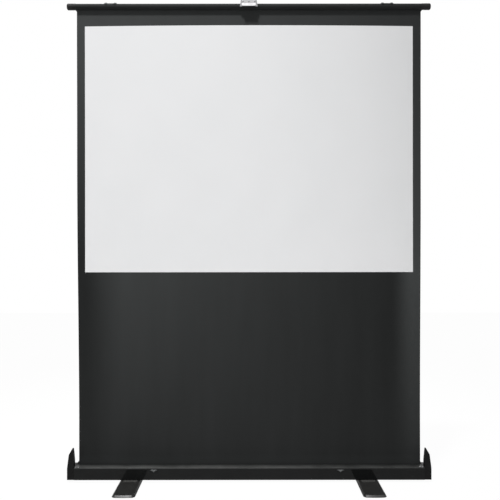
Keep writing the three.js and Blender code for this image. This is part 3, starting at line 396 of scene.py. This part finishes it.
def dress(node, finish, slot, edge=0.6 * MM, segments=2):
    """A CAD node's own shape with rounded edges and smooth curves."""
    shell = soften(merged_copy(node), edge, segments)
    return mount(smooth(object_of(f"{node}_dressed", shell, finish)), body_of(node), slot, node)


def arc(centre, radius, start, end, steps=8):
    """Points on an arc, from start to end in degrees."""
    angles = [math.radians(start + (end - start) * i / steps) for i in range(steps + 1)]
    return [(centre[0] + radius * math.cos(a), centre[1] + radius * math.sin(a)) for a in angles]


def turned(profile, segments=40):
    """A closed shell turned about Z from (radius, height) points that start and end on the axis."""
    shell = bmesh.new()
    poles = [shell.verts.new((0, 0, profile[i][1])) for i in (0, -1)]
    rings = []
    for radius, height in profile[1:-1]:
        turns = [math.tau * i / segments for i in range(segments)]
        rings.append([shell.verts.new((radius * math.cos(t), radius * math.sin(t), height)) for t in turns])
    for i in range(segments):
        j = (i + 1) % segments
        shell.faces.new((poles[0], rings[0][j], rings[0][i]))
        shell.faces.new((poles[1], rings[-1][i], rings[-1][j]))
        for low, high in zip(rings, rings[1:]):
            shell.faces.new((low[i], low[j], high[j], high[i]))
    bmesh.ops.recalc_face_normals(shell, faces=shell.faces)
    return shell


def box_shell(low, high):
    """A box between two corners."""
    shell = bmesh.new()
    size = [h - l for l, h in zip(low, high)]
    middle = [(l + h) / 2 for l, h in zip(low, high)]
    bmesh.ops.create_cube(shell, size=1.0, matrix=Matrix.Translation(middle) @ Matrix.Diagonal((*size, 1.0)))
    return shell


def prism(outline, start, end):
    """A prism along X of an outline of (Y, Z) points."""
    shell = bmesh.new()
    ends = [[shell.verts.new((x, y, z)) for y, z in outline] for x in (start, end)]
    shell.faces.new(ends[0])
    shell.faces.new(ends[1])
    for i in range(len(outline)):
        j = (i + 1) % len(outline)
        shell.faces.new((ends[0][i], ends[0][j], ends[1][j], ends[1][i]))
    bmesh.ops.recalc_face_normals(shell, faces=shell.faces)
    return shell


def carve(made, tool):
    """Cuts the tool's shape out of an object."""
    cut = made.modifiers.new("carve", "BOOLEAN")
    cut.operation = "DIFFERENCE"
    cut.object = tool
    plain_mesh(made)
    bpy.data.objects.remove(tool)


# Geometry node trees
def new_tree(name, inputs):
    """An empty geometry tree with named inputs, and its input node's outputs by name."""
    tree = bpy.data.node_groups.new(name, "GeometryNodeTree")
    for label, kind in inputs.items():
        tree.interface.new_socket(label, in_out="INPUT", socket_type=kind)
    tree.interface.new_socket("Geometry", in_out="OUTPUT", socket_type="NodeSocketGeometry")
    return tree, add_node(tree, "NodeGroupInput").outputs


def end_tree(tree, geometry, finish):
    """Closes a tree: what it made becomes real faces with its finish."""
    real = add_node(tree, "GeometryNodeRealizeInstances", links={"Geometry": geometry})
    dressed = add_node(tree, "GeometryNodeSetMaterial", links={
        "Geometry": real.outputs[0], "Material": finish})
    add_node(tree, "NodeGroupOutput", links={"Geometry": dressed.outputs[0]})
    return tree


def row_tree():
    """Copies of a part in a straight row."""
    tree, given = new_tree("row_of_parts", {
        "Part": "NodeSocketObject", "First": "NodeSocketVector", "Step": "NodeSocketVector",
        "Count": "NodeSocketInt", "Finish": "NodeSocketMaterial"})
    line = add_node(tree, "GeometryNodeMeshLine", links={
        "Count": given["Count"], "Start Location": given["First"], "Offset": given["Step"]})
    part = add_node(tree, "GeometryNodeObjectInfo", links={"Object": given["Part"]})
    copies = add_node(tree, "GeometryNodeInstanceOnPoints", links={
        "Points": line.outputs[0], "Instance": part.outputs["Geometry"]})
    return end_tree(tree, copies.outputs[0], given["Finish"])


def ring_tree():
    """Copies of a part round a centre, about the Y axis, each turned outwards."""
    tree, given = new_tree("ring_of_parts", {
        "Part": "NodeSocketObject", "Centre": "NodeSocketVector", "Count": "NodeSocketInt",
        "Finish": "NodeSocketMaterial"})
    line = add_node(tree, "GeometryNodeMeshLine", {"Offset": (0, 0, 0)}, {"Count": given["Count"]})
    index = add_node(tree, "GeometryNodeInputIndex")
    share = add_node(tree, "ShaderNodeMath", links={0: index.outputs[0], 1: given["Count"]},
                     operation="DIVIDE")
    angle = add_node(tree, "ShaderNodeMath", {1: math.tau}, {0: share.outputs[0]}, operation="MULTIPLY")
    turn = add_node(tree, "ShaderNodeCombineXYZ", links={"Y": angle.outputs[0]})
    part = add_node(tree, "GeometryNodeObjectInfo", links={"Object": given["Part"]})
    copies = add_node(tree, "GeometryNodeInstanceOnPoints", links={
        "Points": line.outputs[0], "Instance": part.outputs["Geometry"], "Rotation": turn.outputs[0]})
    moved = add_node(tree, "GeometryNodeTransform", links={
        "Geometry": copies.outputs[0], "Translation": given["Centre"]})
    return end_tree(tree, moved.outputs[0], given["Finish"])


def coil_tree():
    """A strip or wire wound round an axis: a spiral that may also climb."""
    tree, given = new_tree("wound_coil", {
        "Turns": "NodeSocketFloat", "Start Radius": "NodeSocketFloat", "End Radius": "NodeSocketFloat",
        "Climb": "NodeSocketFloat", "Strip Width": "NodeSocketFloat", "Strip Thickness": "NodeSocketFloat",
        "Centre": "NodeSocketVector", "Tilt": "NodeSocketVector", "Finish": "NodeSocketMaterial"})
    path = add_node(tree, "GeometryNodeCurveSpiral", {"Resolution": 48}, {
        "Rotations": given["Turns"], "Start Radius": given["Start Radius"], "End Radius": given["End Radius"],
        "Height": given["Climb"]})
    upright = add_node(tree, "GeometryNodeSetCurveNormal", links={"Curve": path.outputs[0]}, mode="Z_UP")
    strip = add_node(tree, "GeometryNodeCurvePrimitiveQuadrilateral", links={
        "Width": given["Strip Thickness"], "Height": given["Strip Width"]})
    swept = add_node(tree, "GeometryNodeCurveToMesh", {"Fill Caps": True}, {
        "Curve": upright.outputs[0], "Profile Curve": strip.outputs[0]})
    moved = add_node(tree, "GeometryNodeTransform", links={
        "Geometry": swept.outputs[0], "Translation": given["Centre"], "Rotation": given["Tilt"]})
    return end_tree(tree, moved.outputs[0], given["Finish"])


ROW, RING, COIL = row_tree(), ring_tree(), coil_tree()


def grow(name, tree, **sizes):
    """Runs a tree with the named sizes and keeps the plain mesh that it makes."""
    made = bpy.data.objects.new(name, bpy.data.meshes.new(name))
    scene.collection.objects.link(made)
    nodes = made.modifiers.new("grow", "NODES")
    nodes.node_group = tree
    for item in tree.interface.items_tree:
        key = item.name.lower().replace(" ", "_")
        if item.in_out == "INPUT" and key in sizes:
            nodes[item.identifier] = sizes[key]
    plain_mesh(made)
    part = sizes.get("part")
    if part:
        bpy.data.objects.remove(part)
    return smooth(made)


# Cloth: one sheet from the roller to the top bar, white in the picture and black round it
def stops(low, high, step, *fixed):
    """Even steps between the fixed places, both ends included."""
    places = [low, *fixed, high]
    found = [low]
    for a, b in zip(places, places[1:]):
        count = max(1, round((b - a) / step))
        found += [a + (b - a) * (i + 1) / count for i in range(count)]
    return found


def ramp(value, start, end):
    """A smooth rise from 0 at start to 1 at end."""
    share = min(1.0, max(0.0, (value - start) / (end - start)))
    return share * share * (3 - 2 * share)


def cloth_bulge(x, z):
    """How far the cloth stands behind its flat place, away from the roller: curled edges and slow ripples,
    none where it is held."""
    free = ramp(z, SLACK["low"], SLACK["low_full"]) * (1 - ramp(z, SLACK["high_full"], SLACK["high"]))
    from_edge = CLOTH_HIGH.x - abs(x)
    curl = EDGE_CURL["depth"] * max(0.0, 1 - from_edge / EDGE_CURL["width"]) ** 2
    sway = RIPPLE["sway"] * math.sin(math.tau * z / RIPPLE["up"])
    wave = math.sin(math.tau * (x / RIPPLE["across"] + sway))
    return free * (curl + RIPPLE["depth"] * (1 + wave))


def tapered(x, z):
    """The place across of a point of the cloth, whose side borders narrow towards the case."""
    share = max(0.0, (abs(x) - PICTURE_HALF) / (CLOTH_HIGH.x - PICTURE_HALF))
    inward = TAPER["left"] if x < 0 else -TAPER["right"]
    return x + share * inward * (1 - ramp(z, TAPER["full"], TAPER["none"]))


def drooped(x, z):
    """The height of a point of the cloth, which hangs lower at its sides along the top of the picture."""
    full = DROOP["middle"] + DROOP["sides"] * (x / PICTURE_HALF) ** 2
    below = ramp(z, PICTURE_LOW, PICTURE_HIGH)
    above = 1 - ramp(z, PICTURE_HIGH, CLOTH_HIGH.z)
    return z - full * below * above


def make_cloth():
    """The sheet: a front and a rear face joined round the rim."""
    half = CLOTH_HIGH.x
    bends = [half - EDGE_CURL["width"], PICTURE_HALF, half - EDGE_CURL["rim"]]
    across = stops(-half, half, CLOTH_STEP, *(-b for b in reversed(bends)), *bends)
    up = stops(CLOTH_LOW.z, CLOTH_HIGH.z, CLOTH_STEP, PICTURE_LOW, PICTURE_HIGH)
    shell = bmesh.new()
    layers = []
    for face_y in (CLOTH_LOW.y, CLOTH_HIGH.y):
        layers.append([[shell.verts.new((tapered(x, z), face_y + cloth_bulge(x, z), drooped(x, z)))
                        for x in across] for z in up])
    for layer, rear in zip(layers, (False, True)):
        for row, above, z_low, z_high in zip(layer, layer[1:], up, up[1:]):
            for i in range(len(across) - 1):
                corners = (row[i], row[i + 1], above[i + 1], above[i])
                face = shell.faces.new(reversed(corners) if rear else corners)
                in_picture = abs(across[i] + across[i + 1]) / 2 < PICTURE_HALF
                in_picture = in_picture and PICTURE_LOW < (z_low + z_high) / 2 < PICTURE_HIGH
                face.material_index = 1 if in_picture and not rear else 0
    front, back = layers
    left_rim = [(row[0], behind[0]) for row, behind in zip(front, back)]
    right_rim = [(row[-1], behind[-1]) for row, behind in zip(front, back)]
    rims = [list(zip(front[0], back[0])), list(zip(front[-1], back[-1])), left_rim, right_rim]
    for rim in rims:
        for (a, b), (c, d) in zip(rim, rim[1:]):
            shell.faces.new((a, b, d, c))
    bmesh.ops.recalc_face_normals(shell, faces=shell.faces)
    cloth = object_of("screen_cloth", shell, CLOTH, WHITE)
    cloth.data.shade_smooth()
    cloth.data.set_sharp_from_angle(angle=CREASE)
    mount(cloth, "case", "black_cloth", "screen_fabric", "projection_surface")
    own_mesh(cloth)


def make_wound_tail():
    """The cloth's safety wrap, which stays on the roller."""
    low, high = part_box("fabric_wound_tail")
    outer = (high.z - low.z) / 2
    thickness, length = TAIL["thickness"], TAIL["length"]
    inner = outer - TAIL["laps"] * thickness
    middle = (low + high) / 2
    tail = grow("wound_cloth_tail", COIL, turns=length / (math.pi * (inner + outer)), start_radius=inner,
                end_radius=outer - thickness / 2, climb=0.0, strip_width=high.x - low.x,
                strip_thickness=thickness, centre=middle, tilt=(0, math.pi / 2, 0), finish=CLOTH)
    mount(tail, "roller", "black_cloth", "fabric_wound_tail")


# Fasteners
def domed_head(name, size, length):
    """A round-headed fastener with its head above Z 0 and its shank below."""
    radius, height, shank = size["radius"], size["height"], size["shank"]
    rim = HEAD["rim"] * height
    dome = [(radius * x, rim + (height - rim) * y) for x, y in arc((0, 0), 1.0, 0, HEAD["sweep"], steps=7)]
    tip = [(0, -length), (HEAD["tip"] * shank, -length), (shank, -length + HEAD["tip_rise"] * shank)]
    seat = [(shank, 0), (HEAD["seat"] * radius, 0), (radius, HEAD["seat_rise"] * rim)]
    profile = [*tip, *seat, *dome, (0, height)]
    return object_of(name, turned(profile), ZINC)


def cross_recess(head, size):
    """Cuts the driver's cross into a head."""
    reach, slot = CROSS["reach"] * size["radius"], CROSS["slot"] * size["radius"]
    depth = CROSS["depth"] * size["height"]
    low, high = size["height"] - depth, size["height"] + depth
    for reach_x, reach_y in ((reach, slot), (slot, reach)):
        carve(head, object_of("driver_cross", box_shell((-reach_x, -reach_y, low), (reach_x, reach_y, high))))


def make_cap_screws():
    """Two cross-headed screws in each end of the case."""
    for side, way in SIDES:
        low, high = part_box(f"{side}_cap_screw_1")
        head = domed_head("cap_screw", CAP_SCREW, high.z - low.z - CAP_SCREW["height"])
        cross_recess(head, CAP_SCREW)
        first = Vector(((low.x + high.x) / 2, (low.y + high.y) / 2, high.z - CAP_SCREW["height"]))
        step = Vector((-way * CAP_SCREW["spacing"], 0, 0))
        screws = grow(f"{side}_cap_screws", ROW, part=head, first=first, step=step, count=2,
                      finish=SCREW_NICKEL)
        mount(screws, "case", "chrome", f"{side}_cap_screw_1", f"{side}_cap_screw_2")


def make_hanger_rivets():
    """A rivet through each of the bar's straps."""
    low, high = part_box("left_hanger_rivet")
    head = domed_head("hanger_rivet", HANGER_RIVET, high.z - low.z - HANGER_RIVET["height"])
    first = Vector(((low.x + high.x) / 2, (low.y + high.y) / 2, high.z - HANGER_RIVET["height"]))
    step = Vector((-2 * first.x, 0, 0))
    rivets = grow("hanger_rivets", ROW, part=head, first=first, step=step, count=2, finish=ZINC)
    mount(rivets, "top", "bright_steel", "left_hanger_rivet", "right_hanger_rivet")


def make_grip_rivets():
    """Three rivets along the front of the handle."""
    low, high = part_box("handle_rivet_1")
    head = domed_head("grip_rivet", GRIP_RIVET, high.y - low.y - GRIP_RIVET["height"])
    head.data.transform(Matrix.Rotation(math.pi / 2, 4, "X"))
    first = Vector((-GRIP_RIVET["spacing"], low.y + GRIP_RIVET["height"], (low.z + high.z) / 2))
    step = Vector((GRIP_RIVET["spacing"], 0, 0))
    rivets = grow("handle_rivets", ROW, part=head, first=first, step=step, count=3, finish=SCREW_NICKEL)
    mount(rivets, "top", "grey_steel", "handle_rivet_1", "handle_rivet_2", "handle_rivet_3")


# Handle: a pressed plate with rounded bends over a cast saddle
def is_corner(edge, low, high):
    """The short edges across the sheet at the plate's two free ends."""
    a, b = (v.co for v in edge.verts)
    at_side = abs(a.x - b.x) < WELD and min(abs(a.x - low.x), abs(a.x - high.x)) < WELD
    at_lip = max(a.z, b.z) < low.z + WELD
    at_back = min(a.y, b.y) > high.y - WELD
    return at_side and (at_lip or at_back)


def is_lip_edge(edge, low):
    """The edges along the foot of the lip, on its outside."""
    return all(v.co.z < low.z + WELD and v.co.y < low.y + WELD for v in edge.verts)


def make_grip():
    """The pull plate: a sheet bent over the saddle's front, with a flared lip below."""
    low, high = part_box("handle_grip")
    sheet, bend, lip = GRIP["sheet"], GRIP["bend"], GRIP["lip"]
    front = low.y + GRIP["flare"]
    turn = math.degrees(math.atan2(GRIP["flare"], lip))
    outer_lip = GRIP["lip_bend"]
    inner_lip = outer_lip + sheet
    lip_centre = (front - outer_lip, low.z + lip + outer_lip * math.tan(math.radians(turn / 2)))
    bend_centre = (front + bend, high.z - bend)
    outside = [(high.y, high.z), *arc(bend_centre, bend, 90, 180),
               *arc(lip_centre, outer_lip, 0, -turn, steps=5), (low.y, low.z)]
    inside = [(low.y + sheet, low.z), *arc(lip_centre, inner_lip, -turn, 0, steps=5),
              *arc(bend_centre, bend - sheet, 180, 90), (high.y, high.z - sheet)]
    shell = prism(outside + inside, low.x, high.x)
    soften(shell, GRIP["corner"], 5, lambda edge: is_corner(edge, low, high))
    soften(shell, GRIP["lip_round"], 4, lambda edge: is_lip_edge(edge, low))
    soften(shell, GRIP["edge"])
    mount(smooth(object_of("handle_pull_plate", shell, NICKEL)), "top", "chrome", "handle_grip")


# Feet: pressed trays with a sloped lip all round and bowed ends, and slats across the underside
def foot_ring(shell, low, high, corner, z, steps=7):
    """Vertices round a foot's outline: round corners, and ends that bow outwards."""
    middle, half = (low.x + high.x) / 2, (high.x - low.x) / 2
    points = []
    for way in (1, -1):
        centres = [(middle + way * turn * (half - corner), way * (high.y - corner)) for turn in (1, -1)]
        start = 0 if way > 0 else 180
        points += arc(centres[0], corner, start, start + 90, steps)
        for i in range(1, FOOT["bow_steps"]):
            share = i / FOOT["bow_steps"]
            points.append((centres[0][0] * (1 - share) + centres[1][0] * share, way * high.y))
        points += arc(centres[1], corner, start + 90, start + 180, steps)
    inward = [FOOT["bow"] * ((x - middle) / half) ** 2 for x, _ in points]
    return [shell.verts.new((x, y - math.copysign(bow, y), z)) for (x, y), bow in zip(points, inward)]


def make_foot(side):
    """A foot's tray and its slats."""
    low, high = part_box(f"{side}_foot")
    wall, rise, depth = FOOT["wall"], FOOT["lip_height"], FOOT["lip_depth"]
    ceiling = high.z - FOOT["sheet"]
    foot_of_lip = high.z - rise
    inner_depth = wall + depth * (ceiling - foot_of_lip) / rise
    levels = [(inner_depth, ceiling), (wall, foot_of_lip), (wall, low.z), (0.0, low.z), (0.0, foot_of_lip),
              (depth, high.z)]
    shell = bmesh.new()
    rings = []
    for inward, z in levels:
        inset = Vector((inward, inward, 0))
        rings.append(foot_ring(shell, low + inset, high - inset, FOOT["corner"] - inward, z))
    count = len(rings[0])
    for lower, upper in zip(rings, rings[1:]):
        for i in range(count):
            j = (i + 1) % count
            shell.faces.new((lower[i], lower[j], upper[j], upper[i]))
    shell.faces.new(rings[0])
    shell.faces.new(rings[-1])
    bmesh.ops.recalc_face_normals(shell, faces=shell.faces)
    soften(shell, FOOT["edge"], 3)
    mount(smooth(object_of(f"{side}_foot_tray", shell, POWDER)), f"{side}_foot", "foot_black", f"{side}_foot")
    make_foot_slats(side, low, high)


def make_foot_slats(side, low, high):
    """A row of slats that stiffens the tray from below."""
    thickness, count = SLAT["thickness"], SLAT["count"]
    half = (high.x - low.x) / 2 - FOOT["lip_depth"]
    bottom, top = low.z + SLAT["clear"], high.z - FOOT["sheet"]
    slat = soften(box_shell((-half, -thickness / 2, bottom), (half, thickness / 2, top)), SLAT["edge"])
    spacing = SLAT["spread"] * (high.y - low.y) / (count - 1)
    first = Vector(((low.x + high.x) / 2, -spacing * (count - 1) / 2, 0))
    slats = grow(f"{side}_foot_slats", ROW, part=object_of("slat", slat), first=first,
                 step=Vector((0, spacing, 0)), count=count, finish=POWDER)
    mount(slats, f"{side}_foot", "foot_black")


# Springs and the ribs on the elbow drums
def make_elbow_details(side):
    """The flat spiral spring of an elbow, and the ribs round its cover."""
    low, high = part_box(f"{side}_elbow_spring")
    pin_low, pin_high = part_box(f"{side}_elbow_pin")
    centre = Vector(((pin_low.x + pin_high.x) / 2, (low.y + high.y) / 2, (pin_low.z + pin_high.z) / 2))
    spring = grow(f"{side}_elbow_spiral", COIL, **ELBOW_SPRING, climb=0.0, strip_width=high.y - low.y,
                  centre=centre, tilt=(math.pi / 2, 0, 0), finish=SPRING_STEEL)
    body = body_of(f"{side}_elbow_spring")
    mount(spring, body, "grey_steel", f"{side}_elbow_spring")
    cover_low, cover_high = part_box(f"{side}_elbow_cover")
    outwards = cover_low.y if side == "left" else cover_high.y
    inner, outer, half, rise = (ELBOW_RIB[key] for key in ("inner", "outer", "half", "rise"))
    rib = soften(box_shell((inner, -rise, -half), (outer, rise, half)), ELBOW_RIB["edge"])
    ribs = grow(f"{side}_elbow_ribs", RING, part=object_of("rib", rib), count=ELBOW_RIB["count"], finish=ABS,
                centre=Vector((centre.x, outwards, centre.z)))
    mount(ribs, body, "moulded_black")


def make_roller_spring():
    """The wire spring inside the roller."""
    low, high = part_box("roller_spring")
    wire = ROLLER_SPRING["wire"]
    radius = (high.z - low.z - wire) / 2
    middle = (low + high) / 2
    start = Vector((low.x + wire / 2, middle.y, middle.z))
    spring = grow("roller_torsion_spring", COIL, turns=ROLLER_SPRING["turns"], start_radius=radius,
                  end_radius=radius, climb=high.x - low.x - wire, strip_width=wire, strip_thickness=wire,
                  centre=start, tilt=(0, math.pi / 2, 0), finish=SPRING_STEEL)
    mount(spring, "roller", "grey_steel", "roller_spring")


# Pieces that keep their CAD shape, with rounded edges
def dress_both(name, *finish):
    """Dresses the left and the right one of a pair."""
    for side, _ in SIDES:
        dress(f"{side}_{name}", *finish)


def make_case():
    """The case, with what is fixed to it and its two catches."""
    dress("case_base", LACQUER, "case_gloss_black", 0.5 * MM)
    dress("case_front_cover", LACQUER, "case_gloss_black", 0.5 * MM)
    dress_both("end_cap", ABS, "moulded_black", 1.0 * MM, 3)
    dress_both("wing_catch", DARK_ZINC, "grey_steel", 0.7 * MM, 3)
    dress_both("arm_base", DARK_ZINC, "grey_steel", 0.4 * MM)
    dress_both("base_pin", ZINC, "bright_steel", 0.5 * MM)
    dress_both("foot_bracket", BRACKET_GREY, "grey_steel", 0.4 * MM)
    dress_both("foot_bolt", ZINC, "bright_steel", 0.6 * MM)


def make_top():
    """The bar, with the handle's saddle and what hangs the arms."""
    dress("top_bar", BAR_SATIN, "bar_satin_black", 0.4 * MM)
    dress("handle_saddle", SADDLE_ZINC, "grey_steel", 1.0 * MM, 3)
    dress_both("bar_knob", KNOB_ABS, "moulded_black", 0.9 * MM, 3)
    dress_both("bar_strap", BLACK_ZINC, "grey_steel", 0.7 * MM, 3)
    dress_both("arm_hanger", DARK_ZINC, "grey_steel", 0.4 * MM)
    dress_both("top_pin", ZINC, "bright_steel", 0.5 * MM)


def make_arms():
    """The four arms and their elbows."""
    for part in ("lower_arm", "upper_arm"):
        dress_both(part, ARM_SATIN, "arm_black", 0.4 * MM)
    dress_both("elbow_cover", ABS, "moulded_black", 0.5 * MM, 3)
    dress_both("elbow_pin", ZINC, "bright_steel", 0.5 * MM)


def make_pads():
    """The rubber pads that it stands on."""
    for end in ("front", "rear"):
        dress_both(f"foot_pad_{end}", RUBBER, "rubber", 1.2 * MM, 3)


def finish_inner_pieces():
    """Round pieces hidden in the roller and the bar keep their CAD shape and take a finish."""
    finishes = {"roller_tube": ALUMINIUM, "roller_plug_left": ABS, "roller_plug_right": ABS,
                "roller_spring_arbor": ZINC, "roller_axle": ZINC, "fabric_rod": ZINC}
    for node, finish in finishes.items():
        frame["nodes"][node].material_slots[0].material = finish


# Stage, lamps and camera
def seen_rays(tree):
    """1 for rays that show the background itself, 0 for those that light the part with it."""
    rays = add_node(tree, "ShaderNodeLightPath").outputs
    seen = rays["Is Camera Ray"]
    for kind in ("Is Glossy Ray", "Is Transmission Ray"):
        either = add_node(tree, "ShaderNodeMath", links={0: seen, 1: rays[kind]}, operation="MAXIMUM")
        seen = either.outputs[0]
    return seen


def make_stage():
    """The floor: white where it is seen, and a little of its own tone to keep the shadow."""
    shell = bmesh.new()
    bmesh.ops.create_grid(shell, x_segments=1, y_segments=1, size=FLOOR["half"])
    finish, tree, _ = start_finish("pale_studio_floor")
    share = add_node(tree, "ShaderNodeMath", {1: FLOOR["white"]}, {0: seen_rays(tree)}, operation="MULTIPLY")
    lit = add_node(tree, "ShaderNodeBsdfDiffuse", {"Color": linear(FLOOR["tone"])})
    white = add_node(tree, "ShaderNodeEmission", {"Color": linear("#ffffff"), "Strength": 1.0})
    mix = add_node(tree, "ShaderNodeMixShader", links={
        0: share.outputs[0], 1: lit.outputs[0], 2: white.outputs[0]})
    add_node(tree, "ShaderNodeOutputMaterial", links={"Surface": mix.outputs[0]})
    object_of("studio_floor", shell, finish)


def place_lamp(lamp, from_side, place):
    """Puts a lamp at its place, shining away from the side that it comes from."""
    made = bpy.data.objects.new(lamp.name, lamp)
    made.rotation_euler = from_side.to_track_quat("Z", "Y").to_euler()
    made.location = place
    scene.collection.objects.link(made)


def make_light():
    """The white surroundings, a key lamp from the upper left and a weak fill from behind."""
    world = bpy.data.worlds.new("white_studio")
    scene.world = world
    world.use_nodes = True
    tree = world.node_tree
    tree.nodes.clear()
    strength = add_node(tree, "ShaderNodeMapRange", {"To Min": AMBIENT, "To Max": 1.0},
                        {"Value": seen_rays(tree)})
    sky = add_node(tree, "ShaderNodeBackground", {"Color": linear("#ffffff")},
                   {"Strength": strength.outputs[0]})
    add_node(tree, "ShaderNodeOutputWorld", links={"Surface": sky.outputs[0]})
    key = bpy.data.lights.new("key", "SPOT")
    key.energy, key.shadow_soft_size = KEY["power"], KEY["size"]
    key.spot_size, key.spot_blend = KEY["cone"], 1.0
    place = KEY["at"] + KEY["away"] * KEY["from"].normalized()
    place_lamp(key, place - KEY["aim"], place)
    fill = bpy.data.lights.new("fill", "SUN")
    fill.energy, fill.angle = FILL["power"], FILL["angle"]
    place_lamp(fill, FILL["from"], FILL["from"])


def make_camera():
    """A level camera, with its height, distance and lens as fitted to the photo."""
    lens = bpy.data.cameras.new("camera")
    lens.sensor_width = SENSOR_MM
    lens.lens = FOCAL_PIXELS / FRAME_PIXELS * SENSOR_MM
    camera = bpy.data.objects.new("camera", lens)
    level = Matrix.Rotation(math.pi / 2, 4, "X")
    camera.matrix_world = Matrix.Translation(CAMERA_PLACE) @ level @ Matrix.Rotation(CAMERA_ROLL, 4, "Z")
    scene.collection.objects.link(camera)
    scene.camera = camera
    scene.view_settings.view_transform = "Standard"


make_camera()
make_light()
make_stage()
make_cloth()
make_wound_tail()
make_case()
make_cap_screws()
make_top()
make_hanger_rivets()
make_grip()
make_grip_rivets()
make_arms()
make_pads()
make_roller_spring()
for side_name, _ in SIDES:
    make_foot(side_name)
    make_elbow_details(side_name)
finish_inner_pieces()
